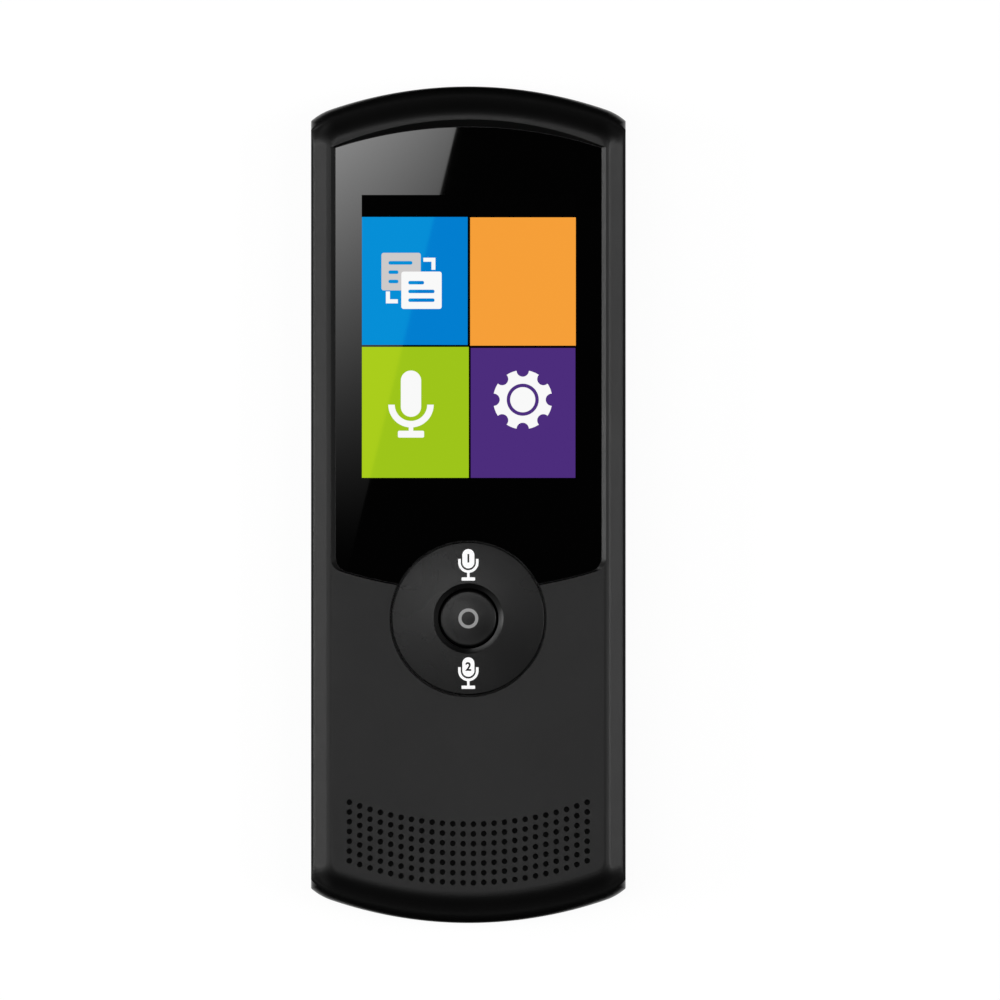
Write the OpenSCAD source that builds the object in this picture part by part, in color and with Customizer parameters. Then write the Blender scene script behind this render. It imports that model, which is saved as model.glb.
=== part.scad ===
// Handheld translator, lying on its back.
// +X is to the right of the display, +Y towards the top end, +Z out of the display.
// The origin is under the middle of the casing, on the surface that it lies on.

/* [Casing] */
// Width across the straight sides
body_w = 54; // [53:0.5:56]
// Length from one end arc to the other
body_l = 143.6; // [143:0.2:147]
// Thickness
body_t = 13; // [12.8:0.1:14]
// Radius of the two end arcs, seen from the front
end_r = 72.5; // [70:0.5:76]
// Radius of the corners where an end arc meets a side
corner_r = 16; // [14:0.5:18]
// Radius of the roll from the front over each end
roll_r = 5.5; // [5:0.1:5.5]
// Radius of the edge round the back
back_r = 3; // [2:0.25:3]
// Wall of both shells
wall = 1.5; // [1.3:0.1:1.6]
// Width of the bevelled shoulder along each side of the front
shoulder_w = 3.8; // [3.4:0.1:4.2]
// Slope of the shoulder, in degrees
shoulder_slope = 27; // [22:1:32]
// Height of the joint between the two shells
split_z = 7.5; // [7.4:0.05:7.5]

/* [Cover lens] */
// Width of the lens
lens_w = 45.8; // [45:0.1:46.2]
// Distance from the middle of the casing to the top of the lens
lens_top = 64.8; // [64:0.1:65]
// Radius of the lens's top edge
lens_top_r = 74.6; // [70:0.2:80]
// Distance from the middle of the casing down to where the lens's lower arc would end
lens_low = 14.5; // [14:0.1:15]
// Radius of the lens's lower edge
lens_low_r = 73; // [70:0.5:76]
// Radius of the lens's lower corners
lens_corner_r = 2.5; // [2:0.1:3]
// Thickness of the glass
lens_t = 1; // [0.8:0.05:1.1]
// Depth of the glass below the front face
lens_sink = 0.5; // [0.4:0.05:0.6]
// Width of the sloped wall along each side of the lens
mouth_slope = 0.65; // [0.5:0.05:0.75]
// Distance from the middle of the casing to the top of the pocket's mouth
mouth_top = 66.3; // [66:0.05:66.5]
// Radius of the top edge of the pocket's mouth
mouth_top_r = 60; // [58:0.5:64]

/* [Display] */
// Height of the visible picture's middle above the casing's middle
picture_y = 28.9; // [28.5:0.1:29.2]
// Width of the visible picture
picture_w = 36.8; // [35:0.1:37.2]
// Length of the visible picture
picture_l = 48.6; // [46:0.1:49]
// Height of the glass's middle above the casing's middle
display_y = 28; // [27.6:0.1:28.2]
// Width of the display's glass
display_w = 39.4; // [38:0.1:39.4]
// Length of the display's glass
display_l = 52.4; // [51:0.1:52.4]
// Width of the tray behind the glass
tray_w = 42.4; // [41:0.1:42.6]
// Length of the tray behind the glass
tray_l = 57; // [55:0.5:57.5]

/* [Keys] */
// Distance of the ring key's middle below the casing's middle
ring_low = 19.5; // [19:0.1:20]
// Outer radius of the ring key
ring_r = 13.2; // [12.8:0.1:13.3]
// Gap round the ring key
ring_gap = 0.25; // [0.2:0.05:0.35]
// Radius of the hole in the ring key
ring_hole_r = 5.6; // [5.5:0.05:5.8]
// Radius of the ring key's domed face
ring_crown_r = 115; // [105:5:140]
// Radius of the centre key
centre_r = 4.9; // [4.6:0.1:5]
// Radius of the centre key's domed face
centre_crown_r = 38; // [30:1:60]
// Distance of the side keys above the casing's middle
side_key_y = 34; // [32:0.5:35]
// Length of the power key
power_l = 9.7; // [8:0.1:10]
// Length of the volume rocker
volume_l = 20; // [18:0.5:21]
// Height of both side keys
side_key_h = 2.3; // [2:0.1:2.5]
// Play all round a side key in its slot
side_key_gap = 0.15; // [0.12:0.01:0.2]

/* [Speaker] */
// Columns of speaker holes
hole_columns = 24; // [8:2:24]
// Rows of speaker holes
hole_rows = 7; // [3:1:7]
// Distance between two columns
column_pitch = 1.774; // [1.6:0.002:1.774]
// Distance between two rows
row_pitch = 1.675; // [1.5:0.005:1.675]
// Radius of a speaker hole
hole_r = 0.475; // [0.3:0.005:0.5]
// Radius of the curve that each row follows
row_r = 57; // [55:0.5:62]
// Distance of the first row below the casing's middle, on the centre line
row_low = 54.8; // [54.5:0.05:55]

/* [Sockets] */
// Radius of the headset plug's bore
audio_r = 1.8; // [1.75:0.01:1.85]
// Height of the headset socket's axis above the back
audio_z = 4.25; // [4.2:0.05:4.3]
// Width of the charging socket
charge_w = 8.9; // [8.5:0.1:9]
// Height of the charging socket
charge_h = 3.2; // [2.8:0.1:3.2]

/* [Power] */
// Width of the battery cell
cell_w = 37; // [32:0.5:37]
// Length of the battery cell
cell_l = 49; // [40:1:49]
// Thickness of the battery cell
cell_t = 4; // [3:0.1:4]

/* [Hidden] */

// Roundness of large arcs, small round things and arcs that are made of points
arc_fn = 180;
hole_fn = 24;
arc_steps = 16;
// How far a cutter runs past the face that it cuts
over = 1;
// A gap that is only there so that two pieces don't bind, and a smaller one round a pivot
ease = 0.1;
slip = 0.05;
// Thickness of a sheet that only marks a height for a hull
film = 0.01;

charcoal = "#2f2f2f";
soft_black = "#0b0b0d";
board_green = "#1d5a35";
steel = "#b9bcc0";
copper = "#c08a4a";

// Casing
half_w = body_w / 2;
half_l = body_l / 2;
end_y = half_l - end_r;
corner_start_x = 23.6;
corner_kink = 5;
corner_angle = asin(corner_start_x / end_r);
corner_x = corner_start_x - corner_r * sin(corner_angle + corner_kink);
corner_y = end_y + end_r * cos(corner_angle) - corner_r * cos(corner_angle + corner_kink);
corner_cut_x = corner_x + 3.9;
crest_steps = 4;
back_steps = 6;
crest_r = 2.65;
edge_r = 1;
shoulder_x = half_w - shoulder_w;
crest_end_x = shoulder_x + crest_r * sin(shoulder_slope);
crest_end_z = body_t - crest_r * (1 - cos(shoulder_slope));
edge_x = half_w - edge_r;
edge_start_x = edge_x + edge_r * sin(shoulder_slope);
edge_start_z = crest_end_z - (edge_start_x - crest_end_x) * tan(shoulder_slope);
edge_z = edge_start_z - edge_r * cos(shoulder_slope);

// Heights of what lies behind the front
front_in_z = body_t - wall;
lens_z = body_t - lens_sink - lens_t;
tape_t = 0.15;
pocket_z = lens_z - tape_t;
ledge_t = 1.35;
ledge_z = pocket_z - ledge_t;
lens_gap = 0.1;
window_gap = 0.3;
tape_margin = 0.4;
panel_top_z = lens_z - ease;
tray_t = 1.8;
tray_z = ledge_z - tray_t;
tray_groove = 1;
ribbon_w = 16;
ribbon_t = 0.15;
ribbon_fold_r = 0.5;
ribbon_reach = 8;

// Ring and centre keys
ring_y = -ring_low;
ring_opening_r = ring_r + ring_gap;
collar_r = ring_opening_r + 2.75;
flange_r = ring_r + 1.3;
flange_t = 0.8;
flange_z = 8.5;
ring_apex_z = body_t + 0.47;
ring_under_z = flange_z + flange_t;
ring_hollow_z = body_t - 1.8;
ring_wall = 1.6;
ring_edge_r = 0.35;
ring_bevel = 0.35;
ring_dome_steps = 5;
pivot_z = 9.5;
pivot_r = ledge_z - pivot_z - slip;
centre_apex_z = body_t - 0.15;
centre_z = flange_z - 0.2;
centre_flange_r = ring_hole_r + 1;
centre_flange_t = 0.5;
centre_edge_r = 0.4;
centre_dome_steps = 4;
mat_r = ring_opening_r + 2;
mat_skirt = 0.8;
mat_t = 0.4;
mat_rise = 0.6;
mat_pads = 8;
mat_pad_r = 0.9;
mat_hub_r = 2;
mat_nub_r = 1;
dome_reach = 9.5;
dome_h = 0.5;
dome_r = 2.5;
dome_wall = 0.12;

// Board and what is on it
board_z = 6.2;
board_t = 0.8;
board_top_z = board_z + board_t;
board_w = 39.2;
board_low = 46;
board_high = 57;
ear_x = 23.4;
power_ear_l = 9;
volume_ear_l = 22;
// Middle of each chip, and its size along X, Y and Z
display_socket_at = [0, 4.6];
display_socket_size = [18, 3.2, 1];
processor_at = [-7, 38];
processor_size = [12, 12, 1];
memory_at = [7.5, 38];
memory_size = [9, 11, 0.9];
shield_at = [-4, 18];
shield_size = [24, 16, 1.1];
shield_wall = 0.2;
// A column of coils and capacitors, and a row of resistors
coil_count = 8;
coil_start = [15, 10];
coil_pitch = 5;
coil_size = [2, 1.6, 1];
capacitor_size = [1.2, 1.6, 0.6];
resistor_count = 6;
resistor_start = [-12.5, 51];
resistor_pitch = 5;
resistor_size = [1, 1.8, 0.5];

// Battery
cell_y = 29;
cell_low_y = cell_y - cell_l / 2;
cell_fold = 0.4;
cell_tape_t = 0.3;
cell_tape_w = 8;
cell_tape_margin = 4;
plug_at = [-11, -5];
plug_size = [6, 4.4, 1.6];
plug_nose_size = [5, 1.6, 1.2];
plug_nose_z = board_z - 1.4;
lead_pitch = 2;
lead_r = 0.4;
lead_y = plug_at.y + plug_size.y / 2 + plug_nose_size.y;

// Side keys, in the middle of the rear shell's wall
side_key_z = 4.7;
side_in_x = half_w - wall;
side_key_out_x = half_w - 0.05;
side_flange_t = 1;
side_flange_margin = 0.45;
rocker_axis_x = side_in_x - 0.4;
rocker_rib_t = 0.3;
power_travel = 0.4;
rocker_travel = 0.2;
power_reach_x = side_in_x - side_flange_t - power_travel - slip;
volume_reach_x = rocker_axis_x - side_flange_t - rocker_travel - slip;
volume_switch_y = volume_l * 0.33;
switch_size = [3, 4, 2.5];
plunger_w = 1.8;
plunger_h = 1.2;

// Screws
screw_x = 22.6;
screw_ys = [60.5, -7, -46];
boss_r = 2.2;
screw_r = 0.8;
screw_head_r = 1.6;
screw_head_t = 0.8;
screw_sink = 0.4;
screw_bite = 2;
screw_slot_w = 0.45;
screw_slot_l = 2;
post_x = 17;
post_r = 1.6;
post_low_y = -42;
post_ys = [post_low_y, 0.6];
post_high_x = 16.4;
post_high_y = 55.7;
board_screw_r = 0.6;
board_screw_l = 2.5;
board_screw_head_r = 1.4;
board_screw_head_t = 0.7;

// Lower end
speaker_y = -58;
speaker_w = 30;
speaker_l = 15;
driver_z = 6.4;
driver_t = 4;
driver_rim = 2;
driver_recess = 0.6;
gasket_rim = 1.2;
mesh_w = 43;
mesh_t = 0.2;
mesh_z = front_in_z - mesh_t;
mesh_top_y = -49.4;
charge_board_at = [0, -59.5];
charge_board_w = 26;
charge_board_l = 15;
charge_board_t = 1;
charge_board_top_z = wall + charge_board_t;
charge_z = charge_board_top_z + charge_h / 2;
charge_out_y = -half_l + 0.6;
charge_depth = 7.5;
charge_shell_t = 0.3;
charge_back_t = 1.2;
charge_tongue_w = charge_w * 0.74;
charge_tongue_t = 0.7;
link_w = 8;
link_t = 0.15;
link_low_y = -54;
link_high_y = -43;

// Microphones and headset socket
microphone_x = 10;
microphone_hole_r = 0.5;
microphone_hole_l = 5;
lower_microphone_z = 3.6;
upper_microphone_z = 4.8;
lower_microphone_at = [microphone_x, -65.075];
lower_microphone_size = [3.5, 2.65, 1];
upper_microphone_at = [-microphone_x, 55.7];
upper_microphone_size = [3, 2.2, 1];
audio_nose_r = 2.4;
audio_block_w = 7;
audio_block_y = half_l - back_r - 0.4;
audio_nose_y = half_l - 0.2;
audio_end_t = 2;

// Antenna
antenna_at = [-22.2, 28];
antenna_size = [3.6, 40, 0.2];

// Sections that several pieces share

// Points along an arc, from one angle to another
function arc_points(cx, cy, r, from, to, steps) =
    [for (i = [0:steps]) let (a = from + (to - from) * i / steps) [cx + r * cos(a), cy + r * sin(a)]];

function mirrored(points) = [for (i = [len(points) - 1:-1:0]) [-points[i][0], points[i][1]]];

// Right half of the casing's cross-section, from the front's edge down to the back.
// The outer face has a soft crest and a small outer radius, the inner face plain corners.
function outer_side() = concat(
    arc_points(shoulder_x, body_t - crest_r, crest_r, 90, 90 - shoulder_slope, crest_steps),
    arc_points(edge_x, edge_z, edge_r, 90 - shoulder_slope, 0, crest_steps),
    arc_points(half_w - back_r, back_r, back_r, 0, -90, back_steps));

function inner_side() = let (
    x1 = half_w - wall,
    slope = tan(shoulder_slope),
    drop = wall / cos(shoulder_slope),
    z1 = crest_end_z - drop - (x1 - crest_end_x) * slope,
    x0 = crest_end_x + (crest_end_z - drop - front_in_z) / slope,
    r = back_r - wall)
    concat([[x0, front_in_z], [x1, z1]], arc_points(x1 - r, wall + r, r, 0, -90, back_steps / 2));

// Half-section of an end's body of revolution, inset from the outer face
module end_section(r, inset) {
    top = body_t - inset;
    roll = roll_r - inset;
    back = back_r - inset;
    difference() {
        translate([0, inset]) square([r, top - inset]);
        translate([r - roll, top - roll]) difference() {
            square(roll + over);
            circle(roll, $fn = arc_fn / 2);
        }
        translate([r - back, inset - over]) difference() {
            square([back + over, back + over]);
            translate([0, back + over]) circle(back, $fn = arc_fn / 2);
        }
    }
}

module end_form(r, inset) {
    rotate_extrude($fn = arc_fn) end_section(r - inset, inset);
}

// The part of the room beyond one corner, which the corner's own roll leaves
module corner_cut(inset) {
    difference() {
        translate([corner_cut_x - corner_x, 0, -over]) cube([2 * corner_r, 2 * corner_r, body_t + 2 * over]);
        end_form(corner_r, inset);
    }
}

// The casing as a closed body, inset from its outer face by nothing or by the wall
module casing_form(inset, side_points) {
    difference() {
        intersection() {
            rotate([90, 0, 0]) linear_extrude(body_l + 2 * over, center = true)
                polygon(concat(side_points, mirrored(side_points)));
            translate([0, end_y, 0]) end_form(end_r, inset);
            translate([0, -end_y, 0]) end_form(end_r, inset);
        }
        for (sx = [-1, 1], sy = [-1, 1]) scale([sx, sy, 1]) translate([corner_x, corner_y, 0])
            corner_cut(inset);
    }
}

module casing_outside() {
    casing_form(0, outer_side());
}

module casing_inside() {
    casing_form(wall, inner_side());
}

// A slab across the whole casing, from one height to another
module slab(z0, z1) {
    translate([-body_w, -body_l, z0]) cube([2 * body_w, 2 * body_l, z1 - z0]);
}

// Outline of the lens or of its pocket: arched top, rounded lower corners, arched lower edge
function lens_outline(hx, top_y, top_r, low_y, low_r, r) = let (
    top_a = asin(hx / top_r),
    low_c = low_y + low_r,
    low_a = asin((hx - r) / (low_r - r)),
    cy = low_c - (low_r - r) * cos(low_a))
    concat(
        arc_points(0, top_y - top_r, top_r, 90 + top_a, 90 - top_a, arc_steps),
        arc_points(hx - r, cy, r, 0, low_a - 90, back_steps),
        arc_points(0, low_c, low_r, low_a - 90, -90 - low_a, arc_steps),
        arc_points(r - hx, cy, r, -90 - low_a, -180, back_steps));

module lens_shape(grow) {
    polygon(lens_outline(lens_w / 2 + grow, lens_top + grow, lens_top_r, -lens_low - grow, lens_low_r,
                         lens_corner_r + grow));
}

module mouth_shape() {
    polygon(lens_outline(lens_w / 2 + mouth_slope, mouth_top, mouth_top_r, -lens_low - mouth_slope / 2,
                         lens_low_r, lens_corner_r));
}

module window_shape(grow) {
    translate([0, display_y]) square([display_w + 2 * grow, display_l + 2 * grow], center = true);
}

module picture_shape(grow) {
    translate([0, picture_y]) square([picture_w + 2 * grow, picture_l + 2 * grow], center = true);
}

module ring_disc(r, z0, z1) {
    translate([0, ring_y, z0]) cylinder(r = r, h = z1 - z0, $fn = arc_fn);
}

// A block that stands on a height, with its middle over a point
module block(at, size, z) {
    translate([at.x - size.x / 2, at.y - size.y / 2, z]) cube(size);
}

// A bar with round ends along Y, in the YZ plane, from one X to another
module side_bar(x0, x1, length, height) {
    straight = length - height;
    translate([x0, side_key_y, side_key_z]) {
        translate([0, -straight / 2, -height / 2]) cube([x1 - x0, straight, height]);
        for (s = [-1, 1]) translate([0, s * straight / 2, 0]) rotate([0, 90, 0])
            cylinder(d = height, h = x1 - x0, $fn = hole_fn * 2);
    }
}

// The charging socket's outline, run through from one Y to another
module charge_bar(y0, y1, width, height) {
    straight = width - height;
    translate([0, y0, charge_z]) {
        translate([-straight / 2, 0, -height / 2]) cube([straight, y1 - y0, height]);
        for (s = [-1, 1]) translate([s * straight / 2, 0, 0]) rotate([-90, 0, 0])
            cylinder(d = height, h = y1 - y0, $fn = hole_fn * 2);
    }
}

module at_screws() {
    for (sx = [-1, 1], y = screw_ys) translate([sx * screw_x, y, 0]) children();
}

function speaker_hole_y(x, row) = -row_low + row_r - sqrt(row_r * row_r - x * x) - row * row_pitch;

// Casing pieces

// The ledge that carries the lens, and the collar round the ring key
module front_ledge() {
    translate([0, 0, ledge_z]) linear_extrude(front_in_z - ledge_z) lens_shape(mouth_slope);
    ring_disc(collar_r, ledge_z, front_in_z);
}

module lens_pocket() {
    translate([0, 0, pocket_z]) linear_extrude(body_t - pocket_z) lens_shape(lens_gap);
    hull() {
        translate([0, 0, body_t - lens_sink]) linear_extrude(film) lens_shape(lens_gap);
        translate([0, 0, body_t]) linear_extrude(film) mouth_shape();
    }
    translate([0, 0, ledge_z - over]) linear_extrude(body_t) window_shape(window_gap);
}

module speaker_holes() {
    for (column = [0:hole_columns - 1], row = [0:hole_rows - 1]) {
        x = (column - (hole_columns - 1) / 2) * column_pitch;
        translate([x, speaker_hole_y(x, row), front_in_z - over])
            cylinder(r = hole_r, h = wall + 2 * over, $fn = 16);
    }
}

module front_shell() {
    color(charcoal) difference() {
        union() {
            difference() {
                intersection() {
                    casing_outside();
                    slab(split_z, body_t + over);
                }
                difference() {
                    casing_inside();
                    front_ledge();
                }
            }
            at_screws() translate([0, 0, split_z])
                cylinder(r = boss_r, h = front_in_z - split_z, $fn = hole_fn * 2);
        }
        lens_pocket();
        ring_disc(ring_opening_r, ledge_z - over, body_t + over);
        speaker_holes();
        at_screws() translate([0, 0, split_z - over])
            cylinder(r = screw_r, h = screw_bite + 0.5 + over, $fn = hole_fn);
    }
}

module rear_posts() {
    for (sx = [-1, 1]) {
        for (y = post_ys) translate([sx * post_x, y, 0]) post(board_z);
        translate([sx * post_high_x, post_high_y, 0]) post(board_z);
    }
    at_screws() translate([0, 0, wall - ease])
        cylinder(r = boss_r, h = split_z - wall + ease, $fn = hole_fn * 2);
}

module post(top) {
    translate([0, 0, wall - ease]) cylinder(r = post_r, h = top - wall + ease, $fn = hole_fn * 2);
}

module rear_shell() {
    color(charcoal) difference() {
        union() {
            difference() {
                intersection() {
                    casing_outside();
                    slab(-over, split_z);
                }
                casing_inside();
            }
            rear_posts();
        }
        at_screws() translate([0, 0, -over]) {
            cylinder(r = screw_r + ease, h = split_z + 2 * over, $fn = hole_fn);
            cylinder(r = screw_head_r + 2 * ease, h = over + screw_sink + screw_head_t, $fn = hole_fn * 2);
        }
        for (sx = [-1, 1]) translate([sx * post_x, post_low_y, board_z - board_screw_l - ease])
            cylinder(r = board_screw_r, h = board_screw_l + over, $fn = hole_fn);
        side_slots();
        charge_bar(-half_l - over, -half_l + wall + over, charge_w + 2 * ease, charge_h + 2 * ease);
        translate([0, half_l - wall - over, audio_z]) rotate([-90, 0, 0])
            cylinder(r = audio_nose_r + ease, h = wall + 2 * over, $fn = hole_fn * 2);
        microphone_hole(microphone_x, -half_l - over, lower_microphone_z);
        microphone_hole(-microphone_x, half_l + over - microphone_hole_l, upper_microphone_z);
    }
}

module side_slots() {
    height = side_key_h + 2 * side_key_gap;
    side_bar(half_w - wall - over, half_w + over, power_l + 2 * side_key_gap, height);
    side_bar(-half_w - over, -half_w + wall + over, volume_l + 2 * side_key_gap, height);
}

module microphone_hole(x, y, z) {
    translate([x, y, z]) rotate([-90, 0, 0])
        cylinder(r = microphone_hole_r, h = microphone_hole_l, $fn = hole_fn);
}

module case_screws() {
    slot_h = 2 * over + screw_head_t;
    color(steel) at_screws() translate([0, 0, screw_sink]) difference() {
        union() {
            cylinder(r = screw_head_r, h = screw_head_t, $fn = hole_fn * 2);
            cylinder(r = screw_r, h = split_z + screw_bite - screw_sink, $fn = hole_fn);
        }
        translate([0, 0, -over]) cube([screw_slot_w, screw_slot_l, slot_h], center = true);
        translate([0, 0, -over]) cube([screw_slot_l, screw_slot_w, slot_h], center = true);
    }
}

// Front pieces

module cover_lens() {
    color(soft_black) difference() {
        translate([0, 0, lens_z]) linear_extrude(lens_t) lens_shape(0);
        ring_disc(ring_opening_r + slip, lens_z - over, body_t);
        translate([0, 0, lens_z - over]) linear_extrude(lens_t + 2 * over) picture_shape(slip);
    }
}

// The clear pane over the picture, level with the lens round it
module display_window() {
    color("#0085d7") translate([0, 0, panel_top_z]) linear_extrude(lens_z + lens_t - panel_top_z)
        picture_shape(0);
}

module lens_tape() {
    color("#3a3a3a") translate([0, 0, pocket_z]) linear_extrude(tape_t) difference() {
        lens_shape(-tape_margin);
        window_shape(window_gap);
        translate([0, ring_y]) circle(ring_opening_r + tape_margin, $fn = arc_fn);
    }
}

module display_panel() {
    color("#20242c") translate([0, 0, ledge_z]) linear_extrude(panel_top_z - ledge_z) window_shape(0);
}

// A metal pan with the light guide in it, and a groove along each side where the two meet
module display_tray() {
    color(steel) translate([0, display_y, tray_z]) difference() {
        translate([-tray_w / 2, -tray_l / 2, 0]) cube([tray_w, tray_l, tray_t]);
        for (sx = [-1, 1]) translate([sx * (tray_w / 2 - tray_groove), 0, tray_t])
            cube([tray_groove, tray_l - 2 * tray_groove, tray_groove], center = true);
    }
}

// Out of the tray's lower end, round a fold and back to its socket
module display_ribbon() {
    fold_y = display_y - tray_l / 2 - 1;
    fold_z = board_top_z + display_socket_size.z + ribbon_fold_r;
    color(copper) translate([-ribbon_w / 2, 0, 0]) rotate([90, 0, 90]) linear_extrude(ribbon_w)
        translate([fold_y, fold_z]) {
            difference() {
                circle(ribbon_fold_r, $fn = hole_fn * 2);
                circle(ribbon_fold_r - ribbon_t, $fn = hole_fn * 2);
                translate([0, -over]) square([over, 2 * over]);
            }
            translate([0, ribbon_fold_r - ribbon_t]) square([1, ribbon_t]);
            translate([0, -ribbon_fold_r]) square([ribbon_reach, ribbon_t]);
        }
}

module display_socket() {
    color("#d8d2c4") block(display_socket_at, display_socket_size, board_top_z);
}

// Height of a domed face at a distance from the axis, for a face whose middle would be at an apex
function dome_z(r, crown_r, apex_z) = apex_z - crown_r + sqrt(crown_r * crown_r - r * r);

// Half-section of a domed face, from one distance from the axis to another
function dome_points(from, to, crown_r, apex_z, steps) =
    [for (i = [0:steps]) let (r = from + (to - from) * i / steps) [r, dome_z(r, crown_r, apex_z)]];

// Bevelled hole, domed top and rounded rim, hollow below, with a flange that the collar holds down.
// A round rib on each side of the flange bears on the collar, and the ring rocks about the two.
module ring_key() {
    hub_r = ring_hole_r + ring_wall;
    skirt_r = ring_r - ring_wall;
    rib_l = flange_r - ring_opening_r - 2 * ease;
    face = dome_points(ring_hole_r + ring_bevel, ring_r - ring_edge_r, ring_crown_r, ring_apex_z,
                       ring_dome_steps);
    rim_z = face[ring_dome_steps].y - ring_edge_r;
    color(charcoal) translate([0, ring_y, 0]) {
        rotate_extrude($fn = arc_fn) polygon(concat(
            [[ring_hole_r, ring_under_z], [ring_hole_r, face[0].y - ring_bevel]],
            face,
            arc_points(ring_r - ring_edge_r, rim_z, ring_edge_r, 60, 0, 2),
            [
                [ring_r, ring_under_z],
                [flange_r, ring_under_z],
                [flange_r, flange_z],
                [skirt_r, flange_z],
                [skirt_r, ring_hollow_z],
                [hub_r, ring_hollow_z],
                [hub_r, ring_under_z]
            ]));
        for (sx = [-1, 1]) scale([sx, 1, 1]) translate([ring_opening_r + ease, 0, pivot_z])
            rotate([0, 90, 0]) cylinder(r = pivot_r, h = rib_l, $fn = hole_fn);
    }
}

module centre_key() {
    face = dome_points(0, centre_r - centre_edge_r, centre_crown_r, centre_apex_z, centre_dome_steps);
    edge_z = face[centre_dome_steps].y - centre_edge_r;
    color(charcoal) translate([0, ring_y, 0]) rotate_extrude($fn = arc_fn) polygon(concat(
        face,
        arc_points(centre_r - centre_edge_r, edge_z, centre_edge_r, 60, 0, 2),
        [
            [centre_r, centre_z + centre_flange_t],
            [centre_flange_r, centre_z + centre_flange_t],
            [centre_flange_r, centre_z],
            [0, centre_z]
        ]));
}

// The silicone mat: a plate on a skirt, with pads that carry the two keys
module key_web() {
    plate_z = board_top_z + mat_rise;
    color("#8c8f94") translate([0, ring_y, 0]) {
        difference() {
            translate([0, 0, board_top_z]) cylinder(r = mat_r, h = mat_rise + mat_t, $fn = arc_fn);
            translate([0, 0, board_top_z - over])
                cylinder(r = mat_r - mat_skirt, h = mat_rise + over, $fn = arc_fn);
        }
        for (i = [0:mat_pads - 1]) rotate([0, 0, i * 360 / mat_pads])
            translate([ring_r + ease, 0, plate_z + ease])
                cylinder(r = mat_pad_r, h = flange_z - plate_z - ease, $fn = hole_fn);
        translate([0, 0, plate_z + ease])
            cylinder(r = mat_hub_r, h = centre_z - plate_z - ease, $fn = hole_fn * 2);
        for (y = [-dome_reach, 0, dome_reach]) translate([0, y, board_top_z + dome_h])
            cylinder(r = mat_nub_r, h = mat_rise - dome_h + ease, $fn = hole_fn);
    }
}

module key_domes() {
    ball_r = (dome_r * dome_r + dome_h * dome_h) / (2 * dome_h);
    color(steel) for (y = [-dome_reach, 0, dome_reach]) translate([0, ring_y + y, board_top_z])
        intersection() {
            translate([0, 0, dome_h - ball_r]) difference() {
                sphere(ball_r, $fn = arc_fn / 2);
                sphere(ball_r - dome_wall, $fn = arc_fn / 2);
            }
            cylinder(r = dome_r + over, h = dome_h + over, $fn = hole_fn);
        }
}

// Board and electronics

// A board with an ear on each side, which carries the side keys' switches
module main_board() {
    color(board_green) difference() {
        translate([0, 0, board_z]) linear_extrude(board_t) {
            translate([-board_w / 2, -board_low]) square([board_w, board_low + board_high]);
            translate([0, side_key_y - power_ear_l / 2]) square([ear_x, power_ear_l]);
            translate([-ear_x, side_key_y - volume_ear_l / 2]) square([ear_x, volume_ear_l]);
        }
        at_board_screws() translate([0, 0, -over])
            cylinder(r = board_screw_r + 2 * ease, h = board_top_z + 2 * over, $fn = hole_fn);
    }
}

module at_board_screws() {
    for (sx = [-1, 1]) translate([sx * post_x, post_low_y, 0]) children();
}

module board_screws() {
    color(steel) at_board_screws() {
        translate([0, 0, board_top_z])
            cylinder(r = board_screw_head_r, h = board_screw_head_t, $fn = hole_fn);
        translate([0, 0, board_z - board_screw_l])
            cylinder(r = board_screw_r, h = board_t + board_screw_l, $fn = hole_fn);
    }
}

module processor_chip() {
    color("#222326") block(processor_at, processor_size, board_top_z);
}

module memory_chip() {
    color("#26272b") block(memory_at, memory_size, board_top_z);
}

module shield_can() {
    hollow = shield_size - shield_wall * [2, 2, 1];
    color(steel) difference() {
        block(shield_at, shield_size, board_top_z);
        block(shield_at, hollow, board_top_z);
    }
}

module board_parts() {
    color("#c9b48a") {
        for (i = [0:coil_count - 1])
            block(coil_start + [0, i * coil_pitch], i % 2 == 0 ? coil_size : capacitor_size, board_top_z);
        for (i = [0:resistor_count - 1])
            block(resistor_start + [i * resistor_pitch, 0], resistor_size, board_top_z);
    }
}

module battery_tape() {
    strip = [cell_tape_w, cell_l - 2 * cell_tape_margin, cell_tape_t];
    color("#d9d3c0") for (sx = [-1, 1]) block([sx * cell_w / 4, cell_y], strip, wall);
}

module battery_cell() {
    bottom_z = wall + cell_tape_t;
    color("#a9adb3") difference() {
        block([0, cell_y], [cell_w, cell_l, cell_t], bottom_z);
        for (sx = [-1, 1]) translate([sx * cell_w / 2, cell_y, bottom_z + cell_t]) rotate([0, 45, 0])
            cube([cell_fold, cell_l + over, cell_fold], center = true);
    }
}

module battery_plug() {
    color("#efe9dc") {
        block(plug_at, plug_size, board_z - plug_size.z);
        block([plug_at.x, lead_y - plug_nose_size.y / 2], plug_nose_size, plug_nose_z);
    }
}

module battery_leads() {
    lead_z = plug_nose_z + plug_nose_size.z / 2;
    color("#a31f1a") for (s = [-1, 1]) translate([plug_at.x + s * lead_pitch / 2, lead_y, lead_z])
        rotate([-90, 0, 0]) cylinder(r = lead_r, h = cell_low_y - lead_y, $fn = hole_fn);
}

module upper_microphone() {
    color(steel) block(upper_microphone_at, upper_microphone_size, board_z - upper_microphone_size.z);
}

// Switches, and the keys in the sides

// A body that hangs from the board's ear, and its plunger
module side_switch(y, reach_x) {
    body_x = ear_x - switch_size.x;
    translate([body_x, y - switch_size.y / 2, board_z - switch_size.z]) cube(switch_size);
    translate([ear_x, y - plunger_w / 2, side_key_z - plunger_h / 2])
        cube([reach_x - ear_x, plunger_w, plunger_h]);
}

module power_switch() {
    color(steel) side_switch(side_key_y, power_reach_x);
}

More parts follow.
